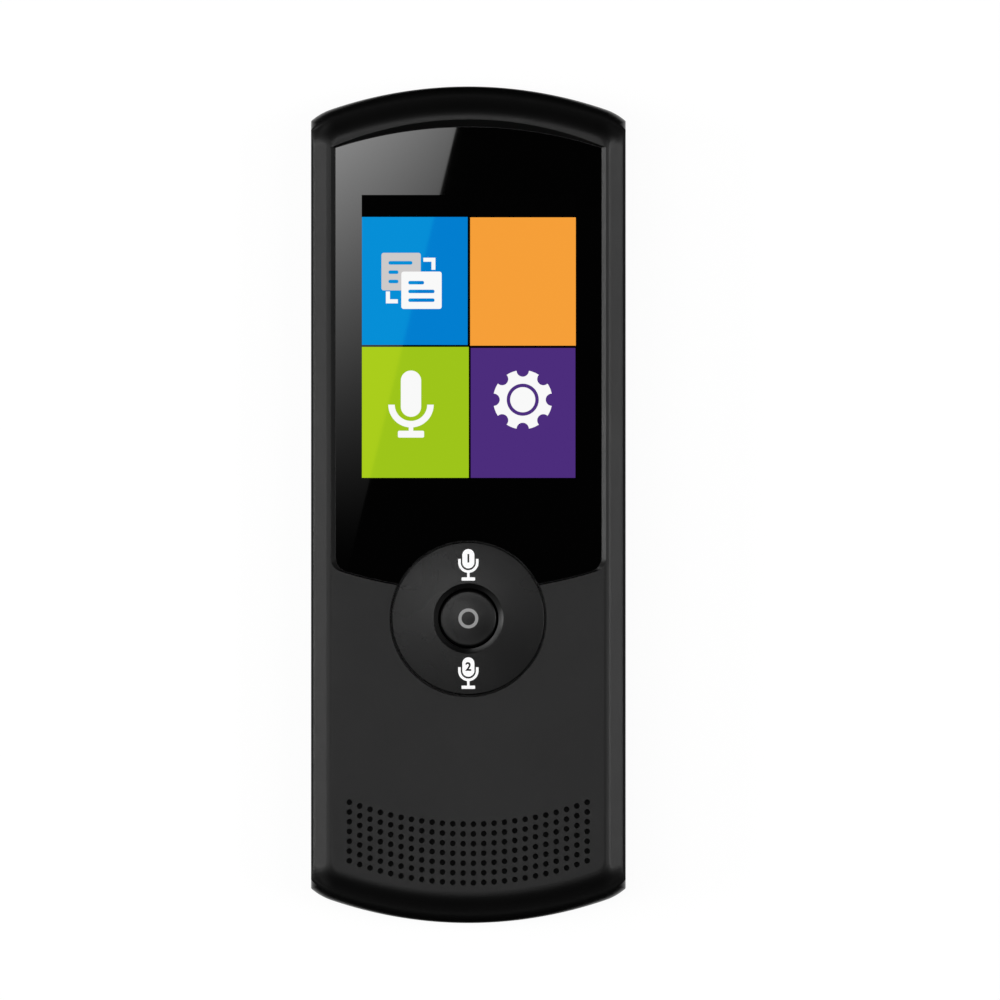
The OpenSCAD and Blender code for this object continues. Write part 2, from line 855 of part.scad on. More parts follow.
module volume_switches() {
    color(steel) scale([-1, 1, 1]) for (s = [-1, 1])
        side_switch(side_key_y + s * volume_switch_y, volume_reach_x);
}

// The part of a side key that shows in its slot, and the flange behind it
module side_key(face_x, length) {
    margin = 2 * side_flange_margin;
    side_bar(face_x, side_key_out_x, length, side_key_h);
    side_bar(face_x - side_flange_t, face_x, length + margin, side_key_h + margin);
}

module power_key() {
    color(charcoal) side_key(side_in_x, power_l);
}

// The rocker turns on a round rib above and below its slot, which bear on the wall's inner face
module volume_key() {
    color(charcoal) scale([-1, 1, 1]) {
        side_key(rocker_axis_x, volume_l);
        for (s = [-1, 1])
            translate([rocker_axis_x, side_key_y, side_key_z + s * (side_key_h / 2 + rocker_rib_t)])
                cylinder(r = side_in_x - rocker_axis_x, h = rocker_rib_t, center = true, $fn = hole_fn);
    }
}

module antenna() {
    color(copper) block(antenna_at, antenna_size, wall);
}

// Lower end: speaker, charging board, sockets

module speaker_driver() {
    cone = [speaker_w - 2 * driver_rim, speaker_l - 2 * driver_rim, over];
    color("#3b3d41") difference() {
        block([0, speaker_y], [speaker_w, speaker_l, driver_t], driver_z);
        block([0, speaker_y], cone, driver_z + driver_t - driver_recess);
    }
}

module speaker_gasket() {
    driver_top_z = driver_z + driver_t;
    color("#101010") translate([0, speaker_y, driver_top_z]) linear_extrude(mesh_z - driver_top_z)
        difference() {
            square([speaker_w, speaker_l], center = true);
            square([speaker_w - 2 * gasket_rim, speaker_l - 2 * gasket_rim], center = true);
        }
}

module speaker_mesh() {
    color("#151515") translate([0, 0, mesh_z]) linear_extrude(mesh_t) intersection() {
        translate([-mesh_w / 2, -half_l]) square([mesh_w, half_l + mesh_top_y]);
        translate([0, -end_y]) circle(end_r - roll_r - ease, $fn = arc_fn);
    }
}

module charge_board() {
    color(board_green) block(charge_board_at, [charge_board_w, charge_board_l, charge_board_t], wall);
}

module charge_socket() {
    mouth_l = charge_depth - charge_back_t;
    width_in = charge_w - 2 * charge_shell_t;
    height_in = charge_h - 2 * charge_shell_t;
    color(steel) {
        difference() {
            charge_bar(charge_out_y, charge_out_y + charge_depth, charge_w, charge_h);
            charge_bar(charge_out_y - over, charge_out_y + mouth_l, width_in, height_in);
        }
        translate([-charge_tongue_w / 2, charge_out_y + 1, charge_z - charge_tongue_t / 2])
            cube([charge_tongue_w, mouth_l - 1 + ease, charge_tongue_t]);
    }
}

// Along the lower board, and up to the main one
module board_link() {
    color(copper) translate([-link_w / 2, 0, charge_board_top_z]) {
        translate([0, link_low_y, 0]) cube([link_w, link_high_y - link_low_y, link_t]);
        translate([0, link_high_y, 0]) cube([link_w, link_t, board_z - charge_board_top_z]);
    }
}

module lower_microphone() {
    color(steel) block(lower_microphone_at, lower_microphone_size, charge_board_top_z);
}

// A block behind the wall, and a nose that fills the hole in it
module audio_socket() {
    block_l = audio_block_y - board_high;
    color("#1a1a1c") difference() {
        union() {
            translate([-audio_block_w / 2, board_high, wall])
                cube([audio_block_w, block_l, 2 * (audio_z - wall)]);
            translate([0, audio_block_y, audio_z]) rotate([-90, 0, 0])
                cylinder(r = audio_nose_r, h = audio_nose_y - audio_block_y, $fn = hole_fn * 2);
        }
        translate([0, board_high + audio_end_t, audio_z]) rotate([-90, 0, 0])
            cylinder(r = audio_r, h = half_l, $fn = hole_fn * 2);
    }
}

front_shell();
rear_shell();
cover_lens();
lens_tape();
display_window();
display_panel();
display_tray();
display_ribbon();
display_socket();
ring_key();
centre_key();
key_web();
key_domes();
main_board();
processor_chip();
memory_chip();
shield_can();
board_parts();
board_screws();
battery_cell();
battery_tape();
battery_plug();
battery_leads();
speaker_driver();
speaker_gasket();
speaker_mesh();
charge_board();
charge_socket();
board_link();
lower_microphone();
upper_microphone();
audio_socket();
power_key();
volume_key();
power_switch();
volume_switches();
antenna();
case_screws();
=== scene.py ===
"""Looks of the handheld translator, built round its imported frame.

A solid is made in millimetres and turned into metres when its piece is finished. The axes are the
frame's: +X to the right of the display, +Y towards the top end, +Z out of the display, the back at 0.
"""

import logging
import math
from collections.abc import Callable, Iterable, Sequence
from dataclasses import dataclass, field, replace
from enum import Enum
from functools import reduce

import bmesh
import bpy
from bmesh.types import BMesh
from mathutils import Matrix, Vector


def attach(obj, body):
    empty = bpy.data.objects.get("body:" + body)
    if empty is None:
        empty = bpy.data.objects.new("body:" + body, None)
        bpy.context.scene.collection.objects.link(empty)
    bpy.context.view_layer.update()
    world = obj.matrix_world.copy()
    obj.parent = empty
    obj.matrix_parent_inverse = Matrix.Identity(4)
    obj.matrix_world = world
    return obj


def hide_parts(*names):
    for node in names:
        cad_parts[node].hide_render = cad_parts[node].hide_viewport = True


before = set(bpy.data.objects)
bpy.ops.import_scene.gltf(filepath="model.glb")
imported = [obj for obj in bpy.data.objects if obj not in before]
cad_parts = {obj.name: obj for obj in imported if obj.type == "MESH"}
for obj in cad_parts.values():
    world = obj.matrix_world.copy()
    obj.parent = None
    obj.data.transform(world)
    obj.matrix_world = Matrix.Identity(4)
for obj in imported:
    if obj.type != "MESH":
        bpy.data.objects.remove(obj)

log = logging.getLogger("translator")

MM = 0.001
# An edge whose faces turn by more than this is shaded as a sharp one.
SHARP_ANGLE = math.radians(26)
# Weight of large faces in the even shading, from 1 to 100.
FACE_WEIGHT = 90
# The left and the right, as a factor on X.
SIDES = (-1, 1)
Point2 = tuple[float, float]
Point3 = tuple[float, float, float]
Colour = tuple[float, float, float]


# Making solids
# ----


class Join(Enum):
    """How one solid acts on another."""

    ADD = "UNION"
    CUT = "DIFFERENCE"


def arc(centre: Point2, radius: float, start: float, end: float, steps: int) -> list[Point2]:
    """Points along an arc.

    Args:
        centre: The arc's middle.
        radius: Its radius.
        start: The first angle, in degrees.
        end: The last angle, in degrees.
        steps: The number of steps between the two.

    Returns:
        The points, one more than there are steps.
    """
    angles = [math.radians(start + (end - start) * i / steps) for i in range(steps + 1)]
    return [(centre[0] + radius * math.cos(a), centre[1] + radius * math.sin(a)) for a in angles]


def loft(rings: Sequence[Sequence[Point3]]) -> BMesh:
    """A closed solid through rings of equally many points.

    Args:
        rings: The rings, in order, each with the same number of points.

    Returns:
        The solid, with both end rings filled.
    """
    solid = bmesh.new()
    ring = [solid.verts.new(point) for point in rings[0]]
    solid.faces.new(ring)
    edges = solid.edges[:]
    for points in rings[1:]:
        grown = bmesh.ops.extrude_edge_only(solid, edges=edges)["geom"]
        fresh = {item for item in grown if isinstance(item, bmesh.types.BMVert)}
        above = {}
        for vert in fresh:
            for edge in vert.link_edges:
                above[edge.other_vert(vert)] = vert
        ring = [above[vert] for vert in ring]
        for vert, point in zip(ring, points):
            vert.co = point
        edges = [
            item for item in grown if isinstance(item, bmesh.types.BMEdge) and set(item.verts) <= fresh
        ]
    solid.faces.new(ring)
    bmesh.ops.recalc_face_normals(solid, faces=solid.faces)
    return solid


def at_height(outline: Iterable[Point2], z: float) -> list[Point3]:
    """An outline laid at a height."""
    return [(x, y, z) for x, y in outline]


def prism(outline: Sequence[Point2], low: float, high: float) -> BMesh:
    """An upright solid over an outline, from one height to another."""
    return loft([at_height(outline, low), at_height(outline, high)])


def lathe(profile: Sequence[Point2], steps: int, middle: Point2 = (0.0, 0.0)) -> BMesh:
    """A solid of revolution about an upright axis.

    Args:
        profile: Radius and height of each point, from the axis to the axis, or closed on itself.
        steps: The number of steps round the axis.
        middle: Where the axis stands.

    Returns:
        The solid, with its poles merged.
    """
    solid = bmesh.new()
    verts = [solid.verts.new((radius, 0.0, height)) for radius, height in profile]
    edges = [solid.edges.new(pair) for pair in zip(verts, verts[1:])]
    bmesh.ops.spin(
        solid,
        geom=verts + edges,
        cent=(0, 0, 0),
        axis=(0, 0, 1),
        angle=math.tau,
        steps=steps,
        use_merge=True,
        use_duplicate=False,
    )
    bmesh.ops.remove_doubles(solid, verts=solid.verts, dist=1e-4)
    bmesh.ops.recalc_face_normals(solid, faces=solid.faces)
    bmesh.ops.translate(solid, verts=solid.verts, vec=(middle[0], middle[1], 0.0))
    return solid


def tube_profile(inner: float, outer: float, low: float, high: float) -> list[Point2]:
    """The closed section of a plain ring."""
    return [(inner, low), (outer, low), (outer, high), (inner, high), (inner, low)]


def rod_profile(radius: float, low: float, high: float, flare: float = 0.0) -> list[Point2]:
    """The section of a rod whose top end widens by a flare, for a hole with a bevelled mouth."""
    neck = high - flare
    return [(0.0, low), (radius, low), (radius, neck), (radius + flare, high), (0.0, high)]


def block(low: Point3, high: Point3, bevel: float = 0.0) -> BMesh:
    """A box between two corners.

    Args:
        low: The lowest corner.
        high: The highest corner.
        bevel: The width of the bevel on every edge.

    Returns:
        The solid.
    """
    solid = bmesh.new()
    bmesh.ops.create_cube(solid, size=1.0)
    size = Vector(high) - Vector(low)
    bmesh.ops.scale(solid, verts=solid.verts, vec=size)
    bmesh.ops.translate(solid, verts=solid.verts, vec=(Vector(low) + Vector(high)) / 2)
    if bevel:
        bmesh.ops.bevel(
            solid,
            geom=solid.edges[:],
            offset=bevel,
            offset_type="OFFSET",
            segments=2,
            profile=0.5,
            affect="EDGES",
            clamp_overlap=True,
            material=-1,
        )
    return solid


def turned(solid: BMesh, axis: str, degrees: float) -> BMesh:
    """A solid turned in place about an axis of the frame."""
    turn = Matrix.Rotation(math.radians(degrees), 3, axis)
    bmesh.ops.rotate(solid, verts=solid.verts, cent=(0.0, 0.0, 0.0), matrix=turn)
    return solid


def moved(solid: BMesh, by: Point3) -> BMesh:
    """A solid moved in place."""
    bmesh.ops.translate(solid, verts=solid.verts, vec=by)
    return solid


def flipped(solid: BMesh) -> BMesh:
    """A solid mirrored in place from right to left, with its faces still outward."""
    bmesh.ops.scale(solid, verts=solid.verts, vec=(-1.0, 1.0, 1.0))
    bmesh.ops.recalc_face_normals(solid, faces=solid.faces)
    return solid


def as_mesh(solid: BMesh, name: str) -> bpy.types.Mesh:
    """The mesh of a solid, which it uses up.

    Args:
        solid: The solid.
        name: The mesh's name.

    Returns:
        The mesh.
    """
    mesh = bpy.data.meshes.new(name)
    solid.to_mesh(mesh)
    solid.free()
    return mesh


def together(solids: Iterable[BMesh]) -> BMesh:
    """One mesh that holds several solids, which don't touch.

    Args:
        solids: The solids, which are used up.

    Returns:
        The mesh.
    """
    whole = bmesh.new()
    for solid in solids:
        mesh = as_mesh(solid, "part")
        whole.from_mesh(mesh)
        bpy.data.meshes.remove(mesh)
    return whole


def placed(name: str, data: bpy.types.ID) -> bpy.types.Object:
    """A new object in the scene.

    Args:
        name: Its name.
        data: The mesh, text, lamp or camera that it holds.

    Returns:
        The object.
    """
    held = bpy.data.objects.new(name, data)
    bpy.context.scene.collection.objects.link(held)
    return held


def evaluated(held: bpy.types.Object) -> BMesh:
    """The solid that an object becomes with its modifiers.

    Args:
        held: The object, which stays as it is.

    Returns:
        The solid.
    """
    graph = bpy.context.evaluated_depsgraph_get()
    mesh = bpy.data.meshes.new_from_object(held.evaluated_get(graph))
    solid = bmesh.new()
    solid.from_mesh(mesh)
    bpy.data.meshes.remove(mesh)
    return solid


def joined(base: BMesh, tool: BMesh, how: Join) -> BMesh:
    """Two solids joined, or one cut out of the other. Both are used up.

    Args:
        base: The solid that is worked on.
        tool: The solid that is added or cut out.
        how: Whether it is added or cut out.

    Returns:
        The new solid.
    """
    target, cutter = (placed("scratch", as_mesh(solid, "scratch")) for solid in (base, tool))
    modifier = target.modifiers.new("join", "BOOLEAN")
    modifier.object = cutter
    modifier.operation = how.value
    modifier.solver = "EXACT"
    solid = evaluated(target)
    for held in (target, cutter):
        mesh = held.data
        bpy.data.objects.remove(held)
        bpy.data.meshes.remove(mesh)
    return solid


def cut(base: BMesh, *tools: BMesh) -> BMesh:
    """A solid with each tool cut out of it in turn."""
    return reduce(lambda solid, tool: joined(solid, tool, Join.CUT), tools, base)


def added(base: BMesh, *tools: BMesh) -> BMesh:
    """A solid with each tool joined to it in turn."""
    return reduce(lambda solid, tool: joined(solid, tool, Join.ADD), tools, base)


def piece(
    name: str,
    solid: BMesh,
    material: bpy.types.Material,
    body: str,
    replaces: Sequence[str] = (),
    even_shading: bool = True,
) -> bpy.types.Object:
    """Finishes a solid as a piece of the object.

    Args:
        name: The piece's name.
        solid: Its shape in millimetres, which is used up.
        material: Its finish.
        body: The frame's body that it rides on.
        replaces: The frame's nodes that it stands for.
        even_shading: Whether large flat faces keep their own shading beside small round ones.

    Returns:
        The piece, at the origin, in metres.
    """
    bmesh.ops.scale(solid, verts=solid.verts, vec=(MM, MM, MM))
    for face in solid.faces:
        face.smooth = True
    mesh = as_mesh(solid, name)
    mesh.set_sharp_from_angle(angle=SHARP_ANGLE)
    mesh.materials.append(material)
    made = placed(name, mesh)
    if even_shading:
        modifier = made.modifiers.new("even shading", "WEIGHTED_NORMAL")
        modifier.keep_sharp = True
        modifier.weight = FACE_WEIGHT
    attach(made, body)
    if replaces:
        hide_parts(*replaces)
    log.info("%s: %d faces", name, len(mesh.polygons))
    return made


# Finishes
# ----


class Shader:
    """Writes the nodes of one tree."""

    def __init__(self, tree: bpy.types.NodeTree) -> None:
        """Takes the tree that nodes are added to."""
        self.tree = tree

    def feed(self, node: bpy.types.Node, **inputs: object) -> None:
        """Sets or links the inputs of a node.

        Args:
            node: The node.
            inputs: A value or another node's output for each input. An input goes by its name, with _
                for a space, or by i and its number.
        """
        for key, value in inputs.items():
            numbered = key[0] == "i" and key[1:].isdigit()
            socket = node.inputs[int(key[1:]) if numbered else key.replace("_", " ")]
            if isinstance(value, bpy.types.NodeSocket):
                self.tree.links.new(value, socket)
            else:
                socket.default_value = value

    def add(self, kind: str, settings: dict | None = None, **inputs: object) -> bpy.types.Node:
        """Adds a node.

        Args:
            kind: The node's type name.
            settings: Properties of the node itself.
            inputs: What its inputs are fed.

        Returns:
            The node.
        """
        node = self.tree.nodes.new(kind)
        for key, value in (settings or {}).items():
            setattr(node, key, value)
        self.feed(node, **inputs)
        return node

    def group(self, tree: bpy.types.NodeTree, **inputs: object) -> bpy.types.bpy_prop_collection:
        """The outputs of a shared group, which it adds."""
        return self.add("ShaderNodeGroup", {"node_tree": tree}, **inputs).outputs

    def math(self, operation: str, a: object, b: object = 0.0, clamp: bool = False) -> bpy.types.NodeSocket:
        """The output of a math node on two values."""
        settings = {"operation": operation, "use_clamp": clamp}
        return self.add("ShaderNodeMath", settings, i0=a, i1=b).outputs[0]

    def spread(self, value: object, low: float, high: float) -> bpy.types.NodeSocket:
        """A value from 0 to 1 spread between two others."""
        return self.add("ShaderNodeMapRange", None, Value=value, To_Min=low, To_Max=high).outputs[0]

    def ease(self, value: object, start: float, end: float, low: float, high: float) -> bpy.types.NodeSocket:
        """A value that goes smoothly from low to high while another goes from start to end.

        Args:
            value: The other value.
            start: Where it starts.
            end: Where it ends.
            low: The value at the start.
            high: The value at the end.

        Returns:
            The value.
        """
        settings = {"interpolation_type": "SMOOTHSTEP"}
        inputs = {"Value": value, "From_Min": start, "From_Max": end, "To_Min": low, "To_Max": high}
        return self.add("ShaderNodeMapRange", settings, **inputs).outputs[0]

    def noise(self, vector: object, scale: object, detail: float) -> bpy.types.NodeSocket:
        """A noise from 0 to 1."""
        return self.add("ShaderNodeTexNoise", None, Vector=vector, Scale=scale, Detail=detail).outputs["Fac"]

    def bump(self, height: object, distance: float) -> bpy.types.NodeSocket:
        """The normal of a face in relief, whose height of 1 stands a distance in metres above it."""
        return self.add("ShaderNodeBump", None, Height=height, Distance=distance).outputs[0]

    def tint(self, colour: Colour, factor: object) -> bpy.types.NodeSocket:
        """A colour multiplied by a factor."""
        return self.add("ShaderNodeVectorMath", {"operation": "SCALE"}, i0=colour, Scale=factor).outputs[0]

    def parts(self, vector: object) -> bpy.types.bpy_prop_collection:
        """The parts of a vector, X, Y and Z."""
        return self.add("ShaderNodeSeparateXYZ", None, Vector=vector).outputs

    def coordinates(self) -> bpy.types.NodeSocket:
        """The piece's own coordinates, in metres."""
        return self.add("ShaderNodeTexCoord").outputs["Object"]

    def waves(self, pitch: float) -> list[bpy.types.NodeSocket]:
        """Waves across and along the piece.

        Args:
            pitch: The distance in which a wave comes back, in metres.

        Returns:
            The wave along X and the wave along Y, from -1 to 1.
        """
        place = self.parts(self.coordinates())
        turns = math.tau / pitch
        return [self.math("SINE", self.math("MULTIPLY", place[axis], turns)) for axis in ("X", "Y")]


class Effects:
    """Node groups that several finishes share, each built once."""

    _made: dict[str, bpy.types.NodeTree] = {}

    @classmethod
    def _group(
        cls, name: str, inputs: dict[str, tuple[str, object]], outputs: Sequence[str]
    ) -> tuple[Shader, bpy.types.bpy_prop_collection, bpy.types.Node]:
        """Starts a group with its sockets.

        Args:
            name: The group's name.
            inputs: Kind and default of each input.
            outputs: The name of each output, all numbers.

        Returns:
            A writer for the group, what comes in, and the node that its outputs are fed to.
        """
        tree = bpy.data.node_groups.new(name, "ShaderNodeTree")
        for key, (kind, default) in inputs.items():
            socket = tree.interface.new_socket(name=key, in_out="INPUT", socket_type=kind)
            if default is not None:
                socket.default_value = default
        for key in outputs:
            tree.interface.new_socket(name=key, in_out="OUTPUT", socket_type="NodeSocketFloat")
        cls._made[name] = tree
        return Shader(tree), tree.nodes.new("NodeGroupInput").outputs, tree.nodes.new("NodeGroupOutput")

    @classmethod
    def grain(cls) -> bpy.types.NodeTree:
        """Moulded grain: Height of the fine texture, and a slow change of Tone.

        Returns:
            The group, with inputs Vector and Size, the grain's size in metres.
        """
        name = "moulded grain"
        if name not in cls._made:
            inputs = {"Vector": ("NodeSocketVector", None), "Size": ("NodeSocketFloat", 0.0002)}
            write, given, result = cls._group(name, inputs, ("Height", "Tone"))
            scale = write.math("DIVIDE", 1.0, given["Size"])
            vector, settings = given["Vector"], {"feature": "SMOOTH_F1"}
            cells = write.add("ShaderNodeTexVoronoi", settings, Vector=vector, Scale=scale)
            bumps = write.math("MULTIPLY", cells.outputs["Distance"], 0.7)
            height = write.math("ADD", bumps, write.noise(vector, scale, 3.0))
            write.feed(result, Height=height, Tone=write.noise(vector, 45.0, 4.0))
        return cls._made[name]

    @classmethod
    def handling(cls) -> bpy.types.NodeTree:
        """Marks of handling: Smudge is the film of fingers, Dust its small specks.

        Returns:
            The group, with the input Vector.
        """
        name = "handling marks"
        if name not in cls._made:
            inputs = {"Vector": ("NodeSocketVector", None)}
            write, given, result = cls._group(name, inputs, ("Smudge", "Dust"))
            vector, clouds = given["Vector"], {"Scale": 70.0, "Detail": 5.0, "Distortion": 1.2}
            cloud = write.add("ShaderNodeTexNoise", None, Vector=vector, **clouds)
            specks = write.add("ShaderNodeTexVoronoi", {"feature": "F1"}, Vector=vector, Scale=1300.0)
            near = write.math("LESS_THAN", specks.outputs["Distance"], 0.07)
            film = cloud.outputs["Fac"]
            dust = write.math("MULTIPLY", near, write.math("GREATER_THAN", film, 0.62))
            smudge = write.add("ShaderNodeMapRange", None, Value=film, From_Min=0.4, From_Max=0.75)
            write.feed(result, Smudge=smudge.outputs[0], Dust=dust)
        return cls._made[name]


@dataclass(frozen=True)
class Finish:
    """A finish with one Principled shader.

    Attributes:
        name: The material's name.
        colour: Its main colour.
    """

    name: str
    colour: Colour

    def make(self) -> bpy.types.Material:
        """Builds the material.

        Returns:
            The material.
        """
        material = bpy.data.materials.new(self.name)
        material.use_nodes = True
        write = Shader(material.node_tree)
        write.feed(material.node_tree.nodes["Principled BSDF"], **self.inputs(write))
        return material

    def inputs(self, write: Shader) -> dict[str, object]:
        """What the shader is fed, by input. Each finish gives its own."""
        raise NotImplementedError


@dataclass(frozen=True)
class Plastic(Finish):
    """Moulded plastic with a fine grain.

    Attributes:
        roughness: Middle of its roughness.
        ior: Its refractive index.
        grain: Size of the grain, in metres.
        relief: Depth of the grain, in metres.
        tone: How far the colour changes over the piece.
        wear: How far handling changes the roughness.
    """

    roughness: float
    ior: float = 1.45
    grain: float = 0.00016
    relief: float = 0.000006
    tone: float = 0.08
    wear: float = 0.015

    def inputs(self, write: Shader) -> dict[str, object]:
        """A mottled colour, a roughness worn by handling and a grained face.

        Args:
            write: The writer of the material's nodes.

        Returns:
            What the shader is fed, by input.
        """
        where = write.coordinates()
        grain = write.group(Effects.grain(), Vector=where, Size=self.grain)
        smudge = write.group(Effects.handling(), Vector=where)["Smudge"]
        tone = write.spread(grain["Tone"], 1.0 - self.tone, 1.0 + self.tone)
        return {
            "Base_Color": write.tint(self.colour, tone),
            "Roughness": write.spread(smudge, self.roughness + self.wear, self.roughness - self.wear),
            "Normal": write.bump(grain["Height"], self.relief),
            "IOR": self.ior,
        }


@dataclass(frozen=True)
class Glass(Finish):
    """Black glossy cover glass with a printed back.

    Attributes:
        roughness: Roughness of a clean place.
        smudge: How much rougher a smudged place is.
        ior: Its refractive index.
    """

    roughness: float
    smudge: float
    ior: float = 1.5

    def inputs(self, write: Shader) -> dict[str, object]:
        """A colour with paler specks of dust and a roughness with smudges.

        Args:
            write: The writer of the material's nodes.

        Returns:
            What the shader is fed, by input.
        """
        marks = write.group(Effects.handling(), Vector=write.coordinates())
        return {
            "Base_Color": write.tint(self.colour, write.spread(marks["Dust"], 1.0, 3.0)),
            "Roughness": write.spread(marks["Smudge"], self.roughness, self.roughness + self.smudge),
            "IOR": self.ior,
        }


@dataclass(frozen=True)
class LitPicture(Finish):
    """A lit part of the display's picture, seen through the glass.

    Attributes:
        pitch: Distance between the display's dots, in metres.
        dim: How bright the gaps between the dots are.
        matt: Share of the colour that the unlit picture has.
        ior: Refractive index of the glass over it.
    """

    pitch: float = 0.000115
    dim: float = 0.985
    matt: float = 0.02
    ior: float = 1.5

    def inputs(self, write: Shader) -> dict[str, object]:
        """A light in dots under a glossy face with smudges.

        Args:
            write: The writer of the material's nodes.

        Returns:
            What the shader is fed, by input.
        """
        across, along = write.waves(self.pitch)
        dots = write.spread(write.math("MULTIPLY", across, along), 1.0, self.dim)
        smudge = write.group(Effects.handling(), Vector=write.coordinates())["Smudge"]
        return {
            "Emission_Color": write.tint(self.colour, dots),
            "Base_Color": write.tint(self.colour, write.math("MULTIPLY", dots, self.matt)),
            "Roughness": write.spread(smudge, 0.03, 0.036),
            "Emission_Strength": 1.0,
            "IOR": self.ior,
        }


@dataclass(frozen=True)
class Ink(Finish):
    """Printed marks on the keys, with a painted glow that makes them brighter than the lamps light them.

    Attributes:
        painted_glow: How much painted light the print gives off.
        grain: Size of its grain, in metres.
    """

    painted_glow: float
    grain: float = 0.0001

    def inputs(self, write: Shader) -> dict[str, object]:
        """A slightly uneven colour that also glows, as painted light.

        Args:
            write: The writer of the material's nodes.

        Returns:
            What the shader is fed, by input.
        """
        grain = write.group(Effects.grain(), Vector=write.coordinates(), Size=self.grain)
        colour = write.tint(self.colour, write.spread(grain["Tone"], 0.97, 1.03))
        return {
            "Base_Color": colour,
            "Emission_Color": colour,
            "Roughness": write.spread(grain["Height"], 0.45, 0.55),
            # Painted glow: the print gives off light of its own, though it is no lamp.
            "Emission_Strength": self.painted_glow,
        }


@dataclass(frozen=True)
class Metal(Finish):
    """Stamped or plated metal with fine drawing lines.

    Attributes:
        roughness: Middle of its roughness.
        stretch: How the lines run, as a scale along each axis.
        relief: Depth of the lines, in metres.
    """

    roughness: float
    stretch: Point3 = (1.0, 12.0, 1.0)
    relief: float = 0.000004

    def inputs(self, write: Shader) -> dict[str, object]:
        """A blotched colour, and lines in its roughness and its relief.

        Args:
            write: The writer of the material's nodes.

        Returns:
            What the shader is fed, by input.
        """
        where = write.coordinates()
        place = write.add("ShaderNodeMapping", None, Vector=where, Scale=self.stretch).outputs[0]
        lines, blotch = write.noise(place, 900.0, 2.0), write.noise(place, 60.0, 3.0)
        return {
            "Base_Color": write.tint(self.colour, write.spread(blotch, 0.85, 1.1)),
            "Roughness": write.spread(lines, self.roughness - 0.08, self.roughness + 0.08),
            "Normal": write.bump(lines, self.relief),
            "Metallic": 1.0,
        }


@dataclass(frozen=True)
class Board(Finish):
    """Solder mask over a glass-cloth board with traces.

    Attributes:
        trace: The colour of the mask over copper.
        relief: Height of the traces, in metres.
    """

    trace: Colour
    relief: float = 0.00003

    def inputs(self, write: Shader) -> dict[str, object]:
        """Lanes of copper that show through the mask in colour, gloss and relief.

        Args:
            write: The writer of the material's nodes.

        Returns:
            What the shader is fed, by input.
        """
        settings, where = {"feature": "F1", "distance": "CHEBYCHEV"}, write.coordinates()
        cells = write.add("ShaderNodeTexVoronoi", settings, Vector=where, Scale=420.0).outputs[0]
        lanes = write.math("GREATER_THAN", write.math("SINE", write.math("MULTIPLY", cells, 30.0)), 0.3)
        mask, trace = (*self.colour, 1.0), (*self.trace, 1.0)
        mix = write.add("ShaderNodeMix", {"data_type": "RGBA"}, Factor=lanes, i6=mask, i7=trace)
        return {
            "Base_Color": mix.outputs[2],
            "Roughness": write.spread(lanes, 0.35, 0.25),
            "Normal": write.bump(lanes, self.relief),
        }


@dataclass(frozen=True)
class Weave(Finish):
    """Woven dust mesh, or soft foam where its pitch is coarse.

    Attributes:
        pitch: Distance in which the weave comes back, in metres.
    """

    pitch: float

    def inputs(self, write: Shader) -> dict[str, object]:
        """Yarns that stand up, rougher between them, with painted shade that darkens the colour between them.

        Args:
            write: The writer of the material's nodes.

        Returns:
            What the shader is fed, by input.
        """
        across, along = (write.math("ABSOLUTE", wave) for wave in write.waves(self.pitch))
        height = write.math("MAXIMUM", across, along)
        return {
            # Painted shade: the colour darkens in the low gaps between the yarns.
            "Base_Color": write.tint(self.colour, write.spread(height, 0.3, 1.2)),
            "Roughness": write.spread(height, 0.9, 0.7),
            "Normal": write.bump(height, self.pitch / 3),
        }


class Palette:
    """Every finish of the object, made once."""

    def __init__(self) -> None:
        """Makes the materials."""
        self.casing = Plastic("charcoal casing", (0.002, 0.002, 0.002), 0.3, ior=1.27).make()
        self.key = Plastic("charcoal key", (0.002, 0.002, 0.002), 0.26, ior=1.27, grain=0.00012).make()
        self.rubber = Plastic("black rubber", (0.0015, 0.0015, 0.0015), 0.85, ior=1.3, grain=0.0004).make()
        self.glass = Glass("black cover glass", (0.0002, 0.0002, 0.0002), 0.02, 0.006).make()
        self.ink = Ink("white key print", (0.86, 0.86, 0.86), 0.22).make()
        self.soft_ink = Ink("grey key print", (0.25, 0.25, 0.25), 0.15).make()
        self.steel = Metal("stamped steel", (0.55, 0.56, 0.58), 0.35).make()
        self.dark_screw = Metal("blackened screw", (0.08, 0.08, 0.085), 0.4, (1.0, 1.0, 1.0)).make()
        self.gold = Metal("gold contact", (0.78, 0.56, 0.24), 0.3).make()
        self.copper_film = Metal("copper film", (0.55, 0.27, 0.12), 0.4).make()
        self.foil = Metal("pouch foil", (0.5, 0.52, 0.55), 0.45, (6.0, 1.0, 1.0)).make()
        self.board = Board("green board", (0.012, 0.09, 0.035), (0.03, 0.17, 0.07)).make()
        self.package = Plastic("chip package", (0.02, 0.02, 0.022), 0.6).make()
        self.ceramic = Plastic("ceramic parts", (0.45, 0.34, 0.2), 0.5, grain=0.0003).make()
        self.ivory = Plastic("ivory connector", (0.68, 0.62, 0.5), 0.5).make()
        self.silicone = Plastic("grey silicone", (0.2, 0.21, 0.22), 0.7, grain=0.0005).make()
        self.tape = Plastic("adhesive tape", (0.06, 0.06, 0.06), 0.8, grain=0.0006).make()
        self.wire = Plastic("red wire cover", (0.4, 0.02, 0.012), 0.4).make()
        self.socket = Plastic("black socket", (0.012, 0.012, 0.013), 0.45).make()
        self.panel = Glass("display panel", (0.01, 0.011, 0.014), 0.08, 0.03).make()
        self.mesh = Weave("dust mesh", (0.002, 0.002, 0.002), 0.00022).make()
        self.foam = Weave("gasket foam", (0.012, 0.012, 0.012), 0.0009).make()


# Casing
# ----


